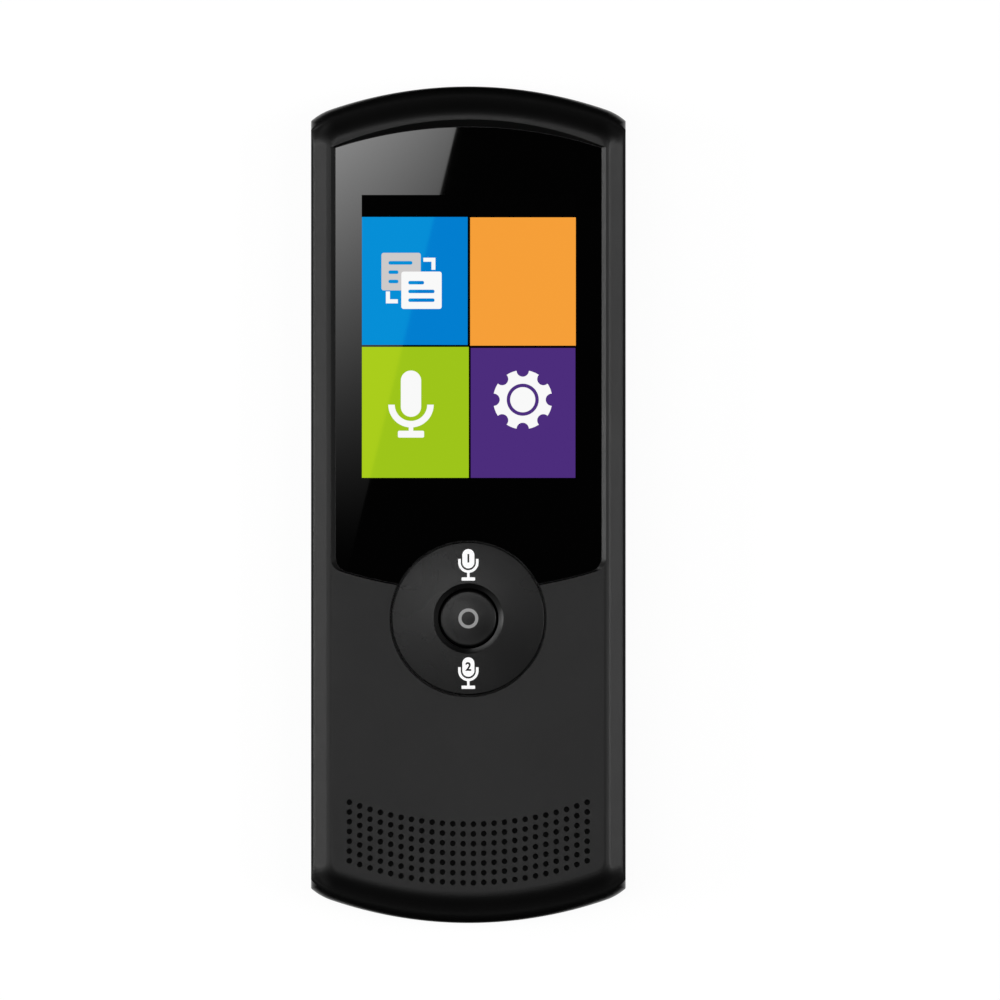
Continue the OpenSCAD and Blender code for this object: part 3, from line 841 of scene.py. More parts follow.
@dataclass(frozen=True)
class CasingForm:
    """The closed form of the casing, or of the hollow in it.

    The ends are arcs that meet the sides in small corner arcs and roll over towards the front. Each
    side of the front is a sloped shoulder.

    Attributes:
        half_width: Half the width across the sides.
        half_length: From the middle to the top of an end arc.
        bottom: Height of the back.
        top: Height of the front face.
        end_radius: Radius of an end arc.
        corner_radius: Radius of a corner arc.
        corner_x: Distance of a corner arc's middle from the middle line.
        roll: Radius of the roll over an end.
        back_edge: Radius of the edge round the back.
        crest: Radius where a shoulder leaves the face.
        rim: Radius where a shoulder meets the side.
        shoulder_x: Where the shoulder starts.
        slope: The shoulder's slope, in degrees.
        arc_steps: Steps along an end arc.
        corner_steps: Steps along a corner arc.
        blend: Radius that blends a side into a corner below the rim.
        softness: How much of the largest possible blend a shoulder has.
        blend_steps: Steps along that blend.
    """

    half_width: float = 27.0
    half_length: float = 71.8
    bottom: float = 0.0
    top: float = 13.0
    end_radius: float = 72.5
    corner_radius: float = 10.0
    corner_x: float = 20.35
    roll: float = 5.5
    back_edge: float = 3.0
    crest: float = 2.65
    rim: float = 1.0
    shoulder_x: float = 23.2
    slope: float = 27.0
    arc_steps: int = 56
    corner_steps: int = 8
    blend: float = 0.3
    softness: float = 0.95
    blend_steps: int = 12

    @property
    def end_y(self) -> float:
        """Middle of the upper end arc."""
        return self.half_length - self.end_radius

    @property
    def corner_y(self) -> float:
        """Middle of an upper corner arc, which touches the end arc from inside."""
        reach = self.end_radius - self.corner_radius
        return self.end_y + math.sqrt(reach**2 - self.corner_x**2)

    @property
    def crest_end(self) -> Point2:
        """Where the crest turns into the slope."""
        a = math.radians(self.slope)
        return self.shoulder_x + self.crest * math.sin(a), self.top - self.crest * (1 - math.cos(a))

    @property
    def rim_z(self) -> float:
        """Height of the middle of the rim's arc."""
        a = math.radians(self.slope)
        start_x = self.half_width - self.rim + self.rim * math.sin(a)
        x, z = self.crest_end
        return z - (start_x - x) * math.tan(a) - self.rim * math.cos(a)

    def inset(self, z: float) -> float:
        """How far the ends lie inside the outline.

        Args:
            z: The height.

        Returns:
            The distance at that height.
        """
        base = self.top - self.roll
        if z > base:
            return self.roll - math.sqrt(max(self.roll**2 - (z - base) ** 2, 0.0))
        if z < self.bottom + self.back_edge:
            fall = self.bottom + self.back_edge - z
            return self.back_edge - math.sqrt(max(self.back_edge**2 - fall**2, 0.0))
        return 0.0

    def side_x(self, z: float) -> float:
        """How far out the sides lie.

        Args:
            z: The height.

        Returns:
            The distance from the middle line at that height.
        """
        crest_x, crest_z = self.crest_end
        slope = math.radians(self.slope)
        if z >= crest_z:
            fall = z - (self.top - self.crest)
            return self.shoulder_x + math.sqrt(max(self.crest**2 - fall**2, 0.0))
        if z >= self.rim_z + self.rim * math.cos(slope):
            return crest_x + (crest_z - z) / math.tan(slope)
        if z >= self.rim_z:
            return self.half_width - self.rim + math.sqrt(max(self.rim**2 - (z - self.rim_z) ** 2, 0.0))
        return self.half_width - self.inset(z)

    def levels(self, low: float, high: float) -> list[float]:
        """Heights between two others at which the form turns enough to need a ring.

        Args:
            low: The lowest height.
            high: The highest height.

        Returns:
            The heights in order, with both ends.
        """
        slope, least = int(self.slope), 0.0005
        rise = {a: math.sin(math.radians(a)) for a in range(91)}
        fall = {a: 1 - math.cos(math.radians(a)) for a in range(91)}
        known = [
            low,
            high,
            self.crest_end[1],
            *(self.top - self.roll + self.roll * rise[a] for a in range(3, 90, 3)),
            *(self.top - self.crest * fall[a] for a in range(3, slope, 4)),
            *(self.rim_z + self.rim * rise[a] for a in range(0, 91 - slope, 7)),
            *(self.bottom + self.back_edge * fall[a] for a in range(0, 91, 6)),
        ]
        kept: list[float] = []
        for z in sorted(known):
            if low <= z <= high and (not kept or z - kept[-1] > least):
                kept.append(z)
        kept[-1] = high
        return kept

    @property
    def tangent(self) -> float:
        """Angle at which a corner arc turns into the end arc, in degrees."""
        return math.degrees(math.atan2(self.corner_y - self.end_y, self.corner_x))

    def blend_at(self, z: float) -> float:
        """Radius that blends a side into a corner, which grows above the rim.

        Args:
            z: The height.

        Returns:
            The radius at that height.
        """
        share = min(max((z - self.rim_z) / self.rim, 0.0), 1.0)
        lean = math.cos(math.radians(self.tangent))
        reach = self.side_x(z) - self.corner_x - lean * (self.corner_radius - self.inset(z))
        largest = self.softness * reach / (1.0 - lean)
        return self.blend + max(largest - self.blend, 0.0) * share**2 * (3 - 2 * share)

    def outline(self, inset: float, side_x: float, blend: float) -> list[Point2]:
        """The outline whose ends are drawn in by an inset and whose sides stand at side_x.

        Args:
            inset: How far the ends and corners are drawn in.
            side_x: How far out the sides stand.
            blend: Radius that blends a side into a corner.

        Returns:
            The points, anticlockwise from the lower right.
        """
        radius = self.corner_radius - inset
        blend_x = side_x - blend
        blend_y = self.corner_y + math.sqrt((radius - blend) ** 2 - (blend_x - self.corner_x) ** 2)
        start = math.degrees(math.atan2(blend_y - self.corner_y, blend_x - self.corner_x))
        tangent = self.tangent
        side = arc((blend_x, blend_y), blend, 0.0, start, self.blend_steps)
        corner = arc((self.corner_x, self.corner_y), radius, start, tangent, self.corner_steps)
        end = arc((0.0, self.end_y), self.end_radius - inset, tangent, 90.0, self.arc_steps // 2)
        quarter = side + corner[1:] + end[1:]
        upper = quarter + [(-x, y) for x, y in reversed(quarter[:-1])]
        return [(x, -y) for x, y in reversed(upper)] + upper

    def solid(self, low: float, high: float, groove: tuple[float, float] = (0.0, 0.0)) -> BMesh:
        """The form between two heights.

        Args:
            low: The lowest height.
            high: The highest height.
            groove: The bevel round the lowest and round the highest ring.

        Returns:
            The solid.
        """
        rings = [(z, 0.0) for z in self.levels(low + groove[0], high - groove[1])]
        if groove[0]:
            rings.insert(0, (low, groove[0]))
        if groove[1]:
            rings.append((high, groove[1]))
        return loft(
            [
                at_height(self.outline(self.inset(z) + bevel, self.side_x(z) - bevel, self.blend_at(z)), z)
                for z, bevel in rings
            ]
        )


@dataclass(frozen=True)
class LensOutline:
    """Arched outline of the lens, of its pocket and of the pocket's mouth.

    Attributes:
        half_width: Half the width.
        top: Distance of the top arc's highest point from the middle.
        top_radius: Radius of the top arc.
        low: Distance of the lower arc's lowest point below the middle.
        low_radius: Radius of the lower arc.
        corner: Radius of the lower corners.
        steps: Steps along each arc.
        corner_steps: Steps along each corner.
    """

    half_width: float = 22.8
    top: float = 64.8
    top_radius: float = 74.6
    low: float = 14.5
    low_radius: float = 73.0
    corner: float = 2.5
    steps: int = 36
    corner_steps: int = 8

    def grown(self, by: float) -> "LensOutline":
        """The same outline, larger by a margin all round."""
        wider = replace(self, half_width=self.half_width + by, corner=self.corner + by)
        return replace(wider, top=self.top + by, low=self.low + by)

    def towards(self, other: "LensOutline", share: float) -> "LensOutline":
        """An outline part of the way to another one.

        Args:
            other: The other outline.
            share: How far it has gone, from 0 to 1.

        Returns:
            The outline.
        """
        names = ("half_width", "top", "top_radius", "low", "low_radius", "corner")
        mixed = {n: getattr(self, n) + (getattr(other, n) - getattr(self, n)) * share for n in names}
        return replace(self, **mixed)

    def points(self) -> list[Point2]:
        """The outline's points.

        Returns:
            The points, clockwise from the upper left.
        """
        top_angle = math.degrees(math.asin(self.half_width / self.top_radius))
        inner = self.low_radius - self.corner
        corner_x = self.half_width - self.corner
        low_angle = math.degrees(math.asin(corner_x / inner))
        low_middle = self.low_radius - self.low
        corner_y = low_middle - inner * math.cos(math.radians(low_angle))
        top_middle = (0.0, self.top - self.top_radius)
        right, left = low_angle - 90, -90 - low_angle
        return [
            *arc(top_middle, self.top_radius, 90 + top_angle, 90 - top_angle, self.steps),
            *arc((corner_x, corner_y), self.corner, 0.0, right, self.corner_steps),
            *arc((0.0, low_middle), self.low_radius, right, left, self.steps)[1:-1],
            *arc((-corner_x, corner_y), self.corner, left, -180.0, self.corner_steps),
        ]


@dataclass(frozen=True)
class Stadium:
    """A bar's section with round ends.

    Attributes:
        length: Its length.
        height: Its height, which is also the diameter of its ends.
        steps: Steps along each end.
    """

    length: float
    height: float
    steps: int = 12

    def points(self, grow: float = 0.0) -> list[Point2]:
        """The outline, grown by a margin.

        Args:
            grow: The margin.

        Returns:
            The points, anticlockwise from the lower right.
        """
        reach = (self.length - self.height) / 2
        radius = self.height / 2 + grow
        right = arc((reach, 0.0), radius, -90, 90, self.steps)
        return [*right, *arc((-reach, 0.0), radius, 90, 270, self.steps)]

    def bar(self, stations: Sequence[Point2]) -> BMesh:
        """A bar along Z through stations, each a height and how much the outline grows there."""
        return loft([at_height(self.points(grow), z) for z, grow in stations])


@dataclass(frozen=True)
class CaseScrew:
    """A screw that stands head down in a pocket in the back, with a cross in its head.

    Attributes:
        face: Height of the head's face.
        seat: Height of the head's underside, which is the pocket's floor.
        tip: Height of the shank's end.
        head: Radius of the head.
        shank: Radius of the shank.
        pocket_radius: Radius of the pocket.
        bore: Radius of the bore beyond the pocket.
        cross: The angle of each slot, in degrees.
    """

    face: float = 0.4
    seat: float = 1.2
    tip: float = 9.5
    head: float = 1.6
    shank: float = 0.8
    pocket_radius: float = 1.8
    bore: float = 0.9
    cross: tuple[float, float] = (20.0, 110.0)

    def solid(self) -> BMesh:
        """The screw without its cross, with a soft edge round its head."""
        head, face = self.head, self.face
        edge = [(head - 0.3, face), (head - 0.08, face + 0.1), (head, face + 0.3), (head, self.seat)]
        shank = [(self.shank, self.seat), (self.shank, self.tip), (0.0, self.tip)]
        return lathe([(0.0, face), *edge, *shank], 32)

    def slot(self, turn: float) -> BMesh:
        """The cutter of one slot of the cross, which narrows as it goes in.

        Args:
            turn: Its angle, in degrees.

        Returns:
            The cutter.
        """
        wide, narrow, half, mouth, bottom = 0.95, 0.52, 0.2, 0.2, 0.9
        ends = ((wide, mouth), (narrow, bottom))
        rings = [at_height(bar_outline((-reach, -half), (reach, half)), z) for reach, z in ends]
        return turned(loft(rings), "Z", turn)

    def pocket(self) -> BMesh:
        """The cutter of the pocket and its bore, with a bevelled mouth.

        Returns:
            The cutter.
        """
        past, bevel, bore_end = 0.1, 0.15, 8.0
        wall = [(self.pocket_radius + bevel + past, -past), (self.pocket_radius, bevel)]
        floor = [(self.pocket_radius, self.seat), (self.bore, self.seat), (self.bore, bore_end)]
        return lathe([(0.0, -past), *wall, *floor, (0.0, bore_end)], 40)


class End(Enum):
    """An end of the casing, by the turn about X that points a shape along Z out of it."""

    LOWER = 90
    UPPER = -90


def out_of(end: End, solid: BMesh, x: float, z: float) -> BMesh:
    """A solid along Z laid so that it points out of an end, at a place across and a height."""
    return moved(turned(solid, "X", end.value), (x, 0.0, z))


@dataclass
class Casing:
    """Both shells, the speaker's holes and the mouths of the sockets.

    Attributes:
        form: The outside.
        wall: The shells' wall.
        split: Height of the joint between the shells.
        groove: Bevel on each side of the joint.
        overlap: How far a cutter runs on into the hollow beyond it.
        lens: Outline of the lens.
        lens_top: Height of the lens's face.
        lens_gap: Gap between the lens and its pocket.
        pocket_z: Height of the pocket's floor.
        ledge: How far the ledge under the lens reaches beyond the lens.
        ledge_z: Height of the ledge's underside.
        window_low: Lower left corner of the opening in the ledge, for the display's glass.
        window_high: Upper right corner of that opening.
        ring_middle: Middle of the ring key.
        ring_opening: Radius of its opening.
        collar: Radius of the collar round it.
        screw: A case screw.
        screw_x: Distance of the screws from the middle line.
        screw_ys: Their places along the casing.
        boss: Radius of the bosses round the screws.
        boss_thread: Radius of the thread in the front shell's bosses.
        post: Radius of the posts that carry the board.
        post_thread: Radius of the thread in them.
        post_top: Height of their tops.
        post_places: Their places, on the right and mirrored on the left.
        side_key_y: Place of the side keys along the casing.
        side_key_z: Their height above the back.
        side_key_height: How high the keys are.
        power_length: Length of the power key.
        volume_length: Length of the volume rocker.
        charge_z: Height of the charging socket.
        headset_z: Height of the headset socket.
        lower_sound: Place across and height of the lower microphone's hole.
        upper_sound: The same of the upper microphone's hole.
    """

    palette: Palette
    form: CasingForm = field(default_factory=CasingForm)
    wall: float = 1.5
    split: float = 7.5
    groove: float = 0.14
    overlap: float = 0.5
    lens: LensOutline = field(default_factory=LensOutline)
    lens_top: float = 12.5
    lens_gap: float = 0.1
    pocket_z: float = 11.35
    ledge: float = 0.65
    ledge_z: float = 10.0
    window_low: Point2 = (-20.0, 1.5)
    window_high: Point2 = (20.0, 54.5)
    ring_middle: Point2 = (0.0, -19.5)
    ring_opening: float = 13.4
    collar: float = 16.2
    screw: CaseScrew = field(default_factory=CaseScrew)
    screw_x: float = 22.6
    screw_ys: tuple[float, ...] = (60.5, -7.0, -46.0)
    boss: float = 2.2
    boss_thread: float = 0.8
    post: float = 1.6
    post_thread: float = 0.6
    post_top: float = 6.2
    post_places: tuple[Point2, ...] = ((17.0, -42.0), (17.0, 0.6), (16.4, 55.7))
    side_key_y: float = 34.0
    side_key_z: float = 4.7
    side_key_height: float = 2.3
    power_length: float = 9.7
    volume_length: float = 20.0
    charge_z: float = 4.1
    headset_z: float = 4.25
    lower_sound: Point2 = (10.0, 3.6)
    upper_sound: Point2 = (-10.0, 4.8)

    @property
    def mouth(self) -> LensOutline:
        """Outline of the pocket's mouth in the front face."""
        beside, below, top, top_radius = 0.85, 0.325, 66.12, 60.0
        wider = replace(self.lens, half_width=self.lens.half_width + beside, low=self.lens.low + below)
        return replace(wider, top=top, top_radius=top_radius)

    @property
    def hollow_form(self) -> CasingForm:
        """The form of the hollow, one wall inside the outside."""
        outside = ("half_width", "half_length", "top", "roll", "back_edge", "crest")
        shrunk = (*outside, "end_radius", "corner_radius")
        sizes = {name: getattr(self.form, name) - self.wall for name in shrunk}
        return replace(self.form, bottom=self.wall, rim=0.05, softness=0.4, **sizes)

    def at_screws(self, make: Callable[[], BMesh]) -> BMesh:
        """A solid repeated at the six case screws."""
        places = [(side * self.screw_x, y, 0.0) for side in SIDES for y in self.screw_ys]
        return together(moved(make(), place) for place in places)

    def speaker_holes(self) -> BMesh:
        """The cutters of the speaker's holes, in rows that follow a curve.

        Returns:
            The cutters, as one mesh.
        """
        columns, rows = 24, 7
        column_pitch, row_pitch = 1.774, 1.675
        row_radius, first_row, radius, bevel, past = 57.0, -54.8, 0.45, 0.1, 0.05
        top = self.form.top
        profile = rod_profile(radius, top - self.wall - self.overlap, top + past, bevel)
        holes = []
        for column in range(columns):
            x = (column - (columns - 1) / 2) * column_pitch
            curve = row_radius - math.sqrt(row_radius**2 - x**2)
            holes += [lathe(profile, 20, (x, first_row + curve - row * row_pitch)) for row in range(rows)]
        return together(holes)

    def pocket(self) -> BMesh:
        """The cutter of the lens's pocket: straight walls, a slope and a soft edge.

        Returns:
            The cutter.
        """
        slope_height, slope_share, soft, past = 0.42, 0.84, 0.02, 0.1
        seat, mouth, top = self.lens.grown(self.lens_gap), self.mouth, self.form.top
        stations = [
            (self.pocket_z, seat),
            (self.lens_top, seat),
            (self.lens_top + slope_height, seat.towards(mouth, slope_share)),
            (top - soft, mouth),
            (top + past, mouth.grown(past)),
        ]
        return loft([at_height(outline.points(), z) for z, outline in stations])

    def window(self) -> BMesh:
        """The opening in the ledge that the display's glass stands in."""
        low, high = self.ledge_z - self.overlap, self.pocket_z + self.overlap
        return block((*self.window_low, low), (*self.window_high, high))

    def front(self) -> None:
        """Builds the front shell."""
        top, past, bevel = self.form.top, 0.06, 0.18
        roof = top - self.wall + self.overlap
        ledge = prism(self.lens.grown(self.ledge).points(), self.ledge_z, roof)
        collar = lathe(rod_profile(self.collar, self.ledge_z, roof), 96, self.ring_middle)
        boss = tube_profile(self.boss_thread, self.boss, self.split, roof)
        hollow = self.hollow_form.solid(self.split - self.overlap, top - self.wall)
        hollow = cut(hollow, ledge, collar, self.at_screws(lambda: lathe(boss, 32)))
        shell = cut(self.form.solid(self.split, top, (self.groove, 0.0)), hollow)
        mouth = rod_profile(self.ring_opening, self.ledge_z - self.overlap, top + past, bevel)
        opening = lathe(mouth, 144, self.ring_middle)
        shell = cut(shell, self.pocket(), self.window(), opening, self.speaker_holes())
        piece("front_shell_body", shell, self.palette.casing, "casing", ["front_shell"])

    def on_side(self, bar: BMesh) -> BMesh:
        """A bar along Z laid along X on the right side, at the side keys' place."""
        return moved(turned(turned(bar, "Z", 90), "Y", 90), (0.0, self.side_key_y, self.side_key_z))

    def side_slot(self, length: float) -> BMesh:
        """The cutter of a side key's slot on the right, with a bevelled mouth.

        Args:
            length: The key's length.

        Returns:
            The cutter.
        """
        gap, depth, bevel, past = 0.3, 2.5, 0.14, 0.1
        wall_x = self.form.half_width
        stations = [(wall_x - depth, 0.0), (wall_x - bevel, 0.0), (wall_x + past, bevel + past)]
        return self.on_side(Stadium(length + gap, self.side_key_height + gap).bar(stations))

    def rear(self) -> None:
        """Builds the rear shell."""
        form, root = self.form, self.wall - 1.0
        post = tube_profile(self.post_thread, self.post, root, self.post_top)
        posts = [lathe(post, 24, (side * x, y)) for side in SIDES for x, y in self.post_places]
        boss = tube_profile(self.screw.bore, self.boss, root, self.split)
        hollow = self.hollow_form.solid(self.wall, self.split + self.overlap)
        hollow = cut(hollow, together(posts), self.at_screws(lambda: lathe(boss, 32)))
        shell = cut(form.solid(form.bottom, self.split, (0.0, self.groove)), hollow)
        slots = self.side_slot(self.power_length), flipped(self.side_slot(self.volume_length))
        shell = cut(shell, self.at_screws(self.screw.pocket), *slots, *self.end_holes())
        piece("rear_shell_body", shell, self.palette.casing, "casing", ["rear_shell"])

    def end_holes(self) -> list[BMesh]:
        """The cutters of the openings in both ends, each with a bevelled mouth.

        Returns:
            The cutters: charging socket, headset socket, lower and upper microphone.
        """
        past, depth, sound_depth, end = 0.1, 3.0, 4.0, self.form.half_length
        port_length, port_height, port_bevel = 9.1, 3.4, 0.2
        headset_radius, headset_bevel, sound_radius, sound_bevel = 2.5, 0.25, 0.5, 0.3
        stations = [(end - depth, 0.0), (end - port_bevel, 0.0), (end + past, port_bevel + past)]
        port = Stadium(port_length, port_height).bar(stations)
        headset = lathe(rod_profile(headset_radius, end - depth, end + past, headset_bevel), 40)
        sound = rod_profile(sound_radius, end - sound_depth, end + past, sound_bevel)
        return [
            out_of(End.LOWER, port, 0.0, self.charge_z),
            out_of(End.UPPER, headset, 0.0, self.headset_z),
            out_of(End.LOWER, lathe(sound, 20), *self.lower_sound),
            out_of(End.UPPER, lathe(sound, 20), *self.upper_sound),
        ]

    def screws(self) -> None:
        """Builds the six screws in the back."""
        slots = [self.at_screws(lambda: self.screw.slot(turn)) for turn in self.screw.cross]
        screws = cut(self.at_screws(self.screw.solid), *slots)
        piece("case_screw_set", screws, self.palette.dark_screw, "casing", ["case_screws"])

    def build(self) -> None:
        """Builds the casing's pieces."""
        self.front()
        self.rear()
        self.screws()


# Signs, which are flat shapes laid on a face
# ----


def disc_outline(middle: Point2, radius: float, steps: int = 32) -> list[Point2]:
    """A circle's points."""
    return arc(middle, radius, 0, 360, steps)[:-1]


def bar_outline(low: Point2, high: Point2) -> list[Point2]:
    """A rectangle's points."""
    return [low, (high[0], low[1]), high, (low[0], high[1])]


def rounded_outline(low: Point2, high: Point2, radius: float, steps: int = 6) -> list[Point2]:
    """The points of a rectangle with round corners.

    Args:
        low: Its lower left corner.
        high: Its upper right corner.
        radius: Radius of its corners.
        steps: Steps along each corner.

    Returns:
        The points, anticlockwise from the lower right.
    """
    x0, y0, x1, y1 = low[0] + radius, low[1] + radius, high[0] - radius, high[1] - radius
    return [
        *arc((x1, y0), radius, -90, 0, steps),
        *arc((x1, y1), radius, 0, 90, steps),
        *arc((x0, y1), radius, 90, 180, steps),
        *arc((x0, y0), radius, 180, 270, steps),
    ]


@dataclass(frozen=True)
class Microphone:
    """A microphone sign: a capsule in a cradle, on a stem and a foot.

    Every height is measured down from the top of the capsule.

    Attributes:
        capsule_width: The capsule's width.
        capsule_length: Its length.
        cradle_radius: Outer radius of the cradle's round part.
        cradle_low: The cradle's lowest point.
        cradle_high: The ends of its arms.
        stroke: Width of the cradle's stroke.
        stem_width: The stem's width.
        foot_width: The foot's width.
        foot_top: The foot's upper edge.
        foot_low: The foot's lower edge.
        digit: A number cut out of the capsule, or nothing.
        digit_size: Height of its type.
    """

    capsule_width: float = 3.5
    capsule_length: float = 7.95
    cradle_radius: float = 3.9
    cradle_low: float = 9.77
    cradle_high: float = 5.86
    stroke: float = 1.12
    stem_width: float = 0.79
    foot_width: float = 4.5
    foot_top: float = 10.33
    foot_low: float = 11.51
    digit: str = ""
    digit_size: float = 2.0

    def solid(self, top: Point2, low: float, high: float) -> BMesh:
        """The sign as a plate.

        Args:
            top: The capsule's highest point.
            low: Height of the plate's underside.
            high: Height of its face.

        Returns:
            The plate.
        """
        half = self.capsule_width / 2
        capsule_outline = rounded_outline((-half, -self.capsule_length), (half, 0.0), half * 0.995, 10)
        outer, inner, arms = self.cradle_radius, self.cradle_radius - self.stroke, -self.cradle_high
        middle = (0.0, outer - self.cradle_low)
        cradle = [
            (-outer, arms),
            *arc(middle, outer, 180, 360, 24),
            (outer, arms),
            (inner, arms),
            *arc(middle, inner, 360, 180, 24),
            (-inner, arms),
        ]
        overlap, stem_half, foot_half = 0.1, self.stem_width / 2, self.foot_width / 2
        stem_top = -self.cradle_low + self.stroke / 2
        stem = bar_outline((-stem_half, -self.foot_top - overlap), (stem_half, stem_top))
        corner = (self.foot_low - self.foot_top) * 0.2
        foot = rounded_outline((-foot_half, -self.foot_low), (foot_half, -self.foot_top), corner, 3)
        sign = added(*(prism(outline, low, high) for outline in (cradle, stem, foot)))
        capsule = prism(capsule_outline, low, high)
        if self.digit:
            capsule = cut(capsule, self.number(low, high))
        return moved(together([sign, capsule]), (*top, 0.0))

    def number(self, low: float, high: float) -> BMesh:
        """The cutter of the number in the capsule's middle.

        Args:
            low: Height of the plate's underside.
            high: Height of its face.

        Returns:
            The cutter, which goes through the whole plate.
        """
        text = bpy.data.curves.new("number", "FONT")
        text.body = self.digit
        text.size = self.digit_size
        text.align_x = "CENTER"
        text.align_y = "CENTER"
        text.offset = self.digit_size * 0.03
        text.extrude = high - low
        text.resolution_u = 4
        held = placed("number", text)
        solid = evaluated(held)
        bpy.data.objects.remove(held)
        bpy.data.curves.remove(text)
        bmesh.ops.remove_doubles(solid, verts=solid.verts, dist=1e-4)
        return moved(solid, (0.0, -self.capsule_length / 2, (low + high) / 2))


def gridded(solid: BMesh, pitch: float) -> BMesh:
    """A solid whose faces are split along a square grid, so that it can follow a curved face.

    Args:
        solid: The solid.
        pitch: The grid's pitch.

    Returns:
        The same solid.
    """
    for axis in (0, 1):
        places = [vert.co[axis] for vert in solid.verts]
        count = int((max(places) - min(places)) / pitch)
        for step in range(1, count + 1):
            point, normal = Vector(), Vector()
            point[axis] = min(places) + step * pitch
            normal[axis] = 1.0
            geometry = [*solid.verts, *solid.edges, *solid.faces]
            bmesh.ops.bisect_plane(solid, geom=geometry, plane_co=point, plane_no=normal, dist=1e-5)
    return solid


# Lens and display
# ----


@dataclass(frozen=True)
class Tile:
    """A plain part of the picture.

    Attributes:
        name: Its name.
        low: Its lower left corner.
        high: Its upper right corner.
        colour: The colour of its light.
    """

    name: str
    low: Point2
    high: Point2
    colour: Colour


@dataclass(frozen=True)
class TextCard:
    """A card of the text sign, with lines cut out of it.

    Attributes:
        low: Its lower left corner.
        high: Its upper right corner.
        left: Where its lines start.
        lines: Where each line ends, and its height on the card.
        corner: Radius of the card's corners.
        line_half: Half the width of a line.
        line_end: Radius of a line's ends.
        past: How far a cutter runs on above and below the card.
    """

    low: Point2
    high: Point2
    left: float
    lines: tuple[Point2, ...]
    corner: float = 0.4
    line_half: float = 0.3
    line_end: float = 0.25
    past: float = 1.0

    def blank(self, low: float, high: float) -> BMesh:
        """The card without its lines, from one height to another."""
        return prism(rounded_outline(self.low, self.high, self.corner), low, high)

    def solid(self, low: float, high: float) -> BMesh:
        """The card as a plate.

        Args:
            low: Height of its underside.
            high: Height of its face.

        Returns:
            The plate.
        """
        card = self.blank(low, high)
        for right, y in self.lines:
            start, end = (self.left, y - self.line_half), (right, y + self.line_half)
            line = rounded_outline(start, end, self.line_end, 3)
            card = cut(card, prism(line, low - self.past, high + self.past))
        return card


def corner_mark(corner: Point2, reach: float, stroke: float) -> list[Point2]:
    """The points of an angle of two equal arms.

    Args:
        corner: Its outer corner.
        reach: How far the arms reach to the left and down, or to the right and up if it is negative.
        stroke: Their width, with the same sign.

    Returns:
        The points.
    """
    (x, y), inner = corner, (corner[0] - stroke, corner[1] - stroke)
    return [(x - reach, y), (x - reach, inner[1]), inner, (inner[0], y - reach), (x, y - reach), (x, y)]


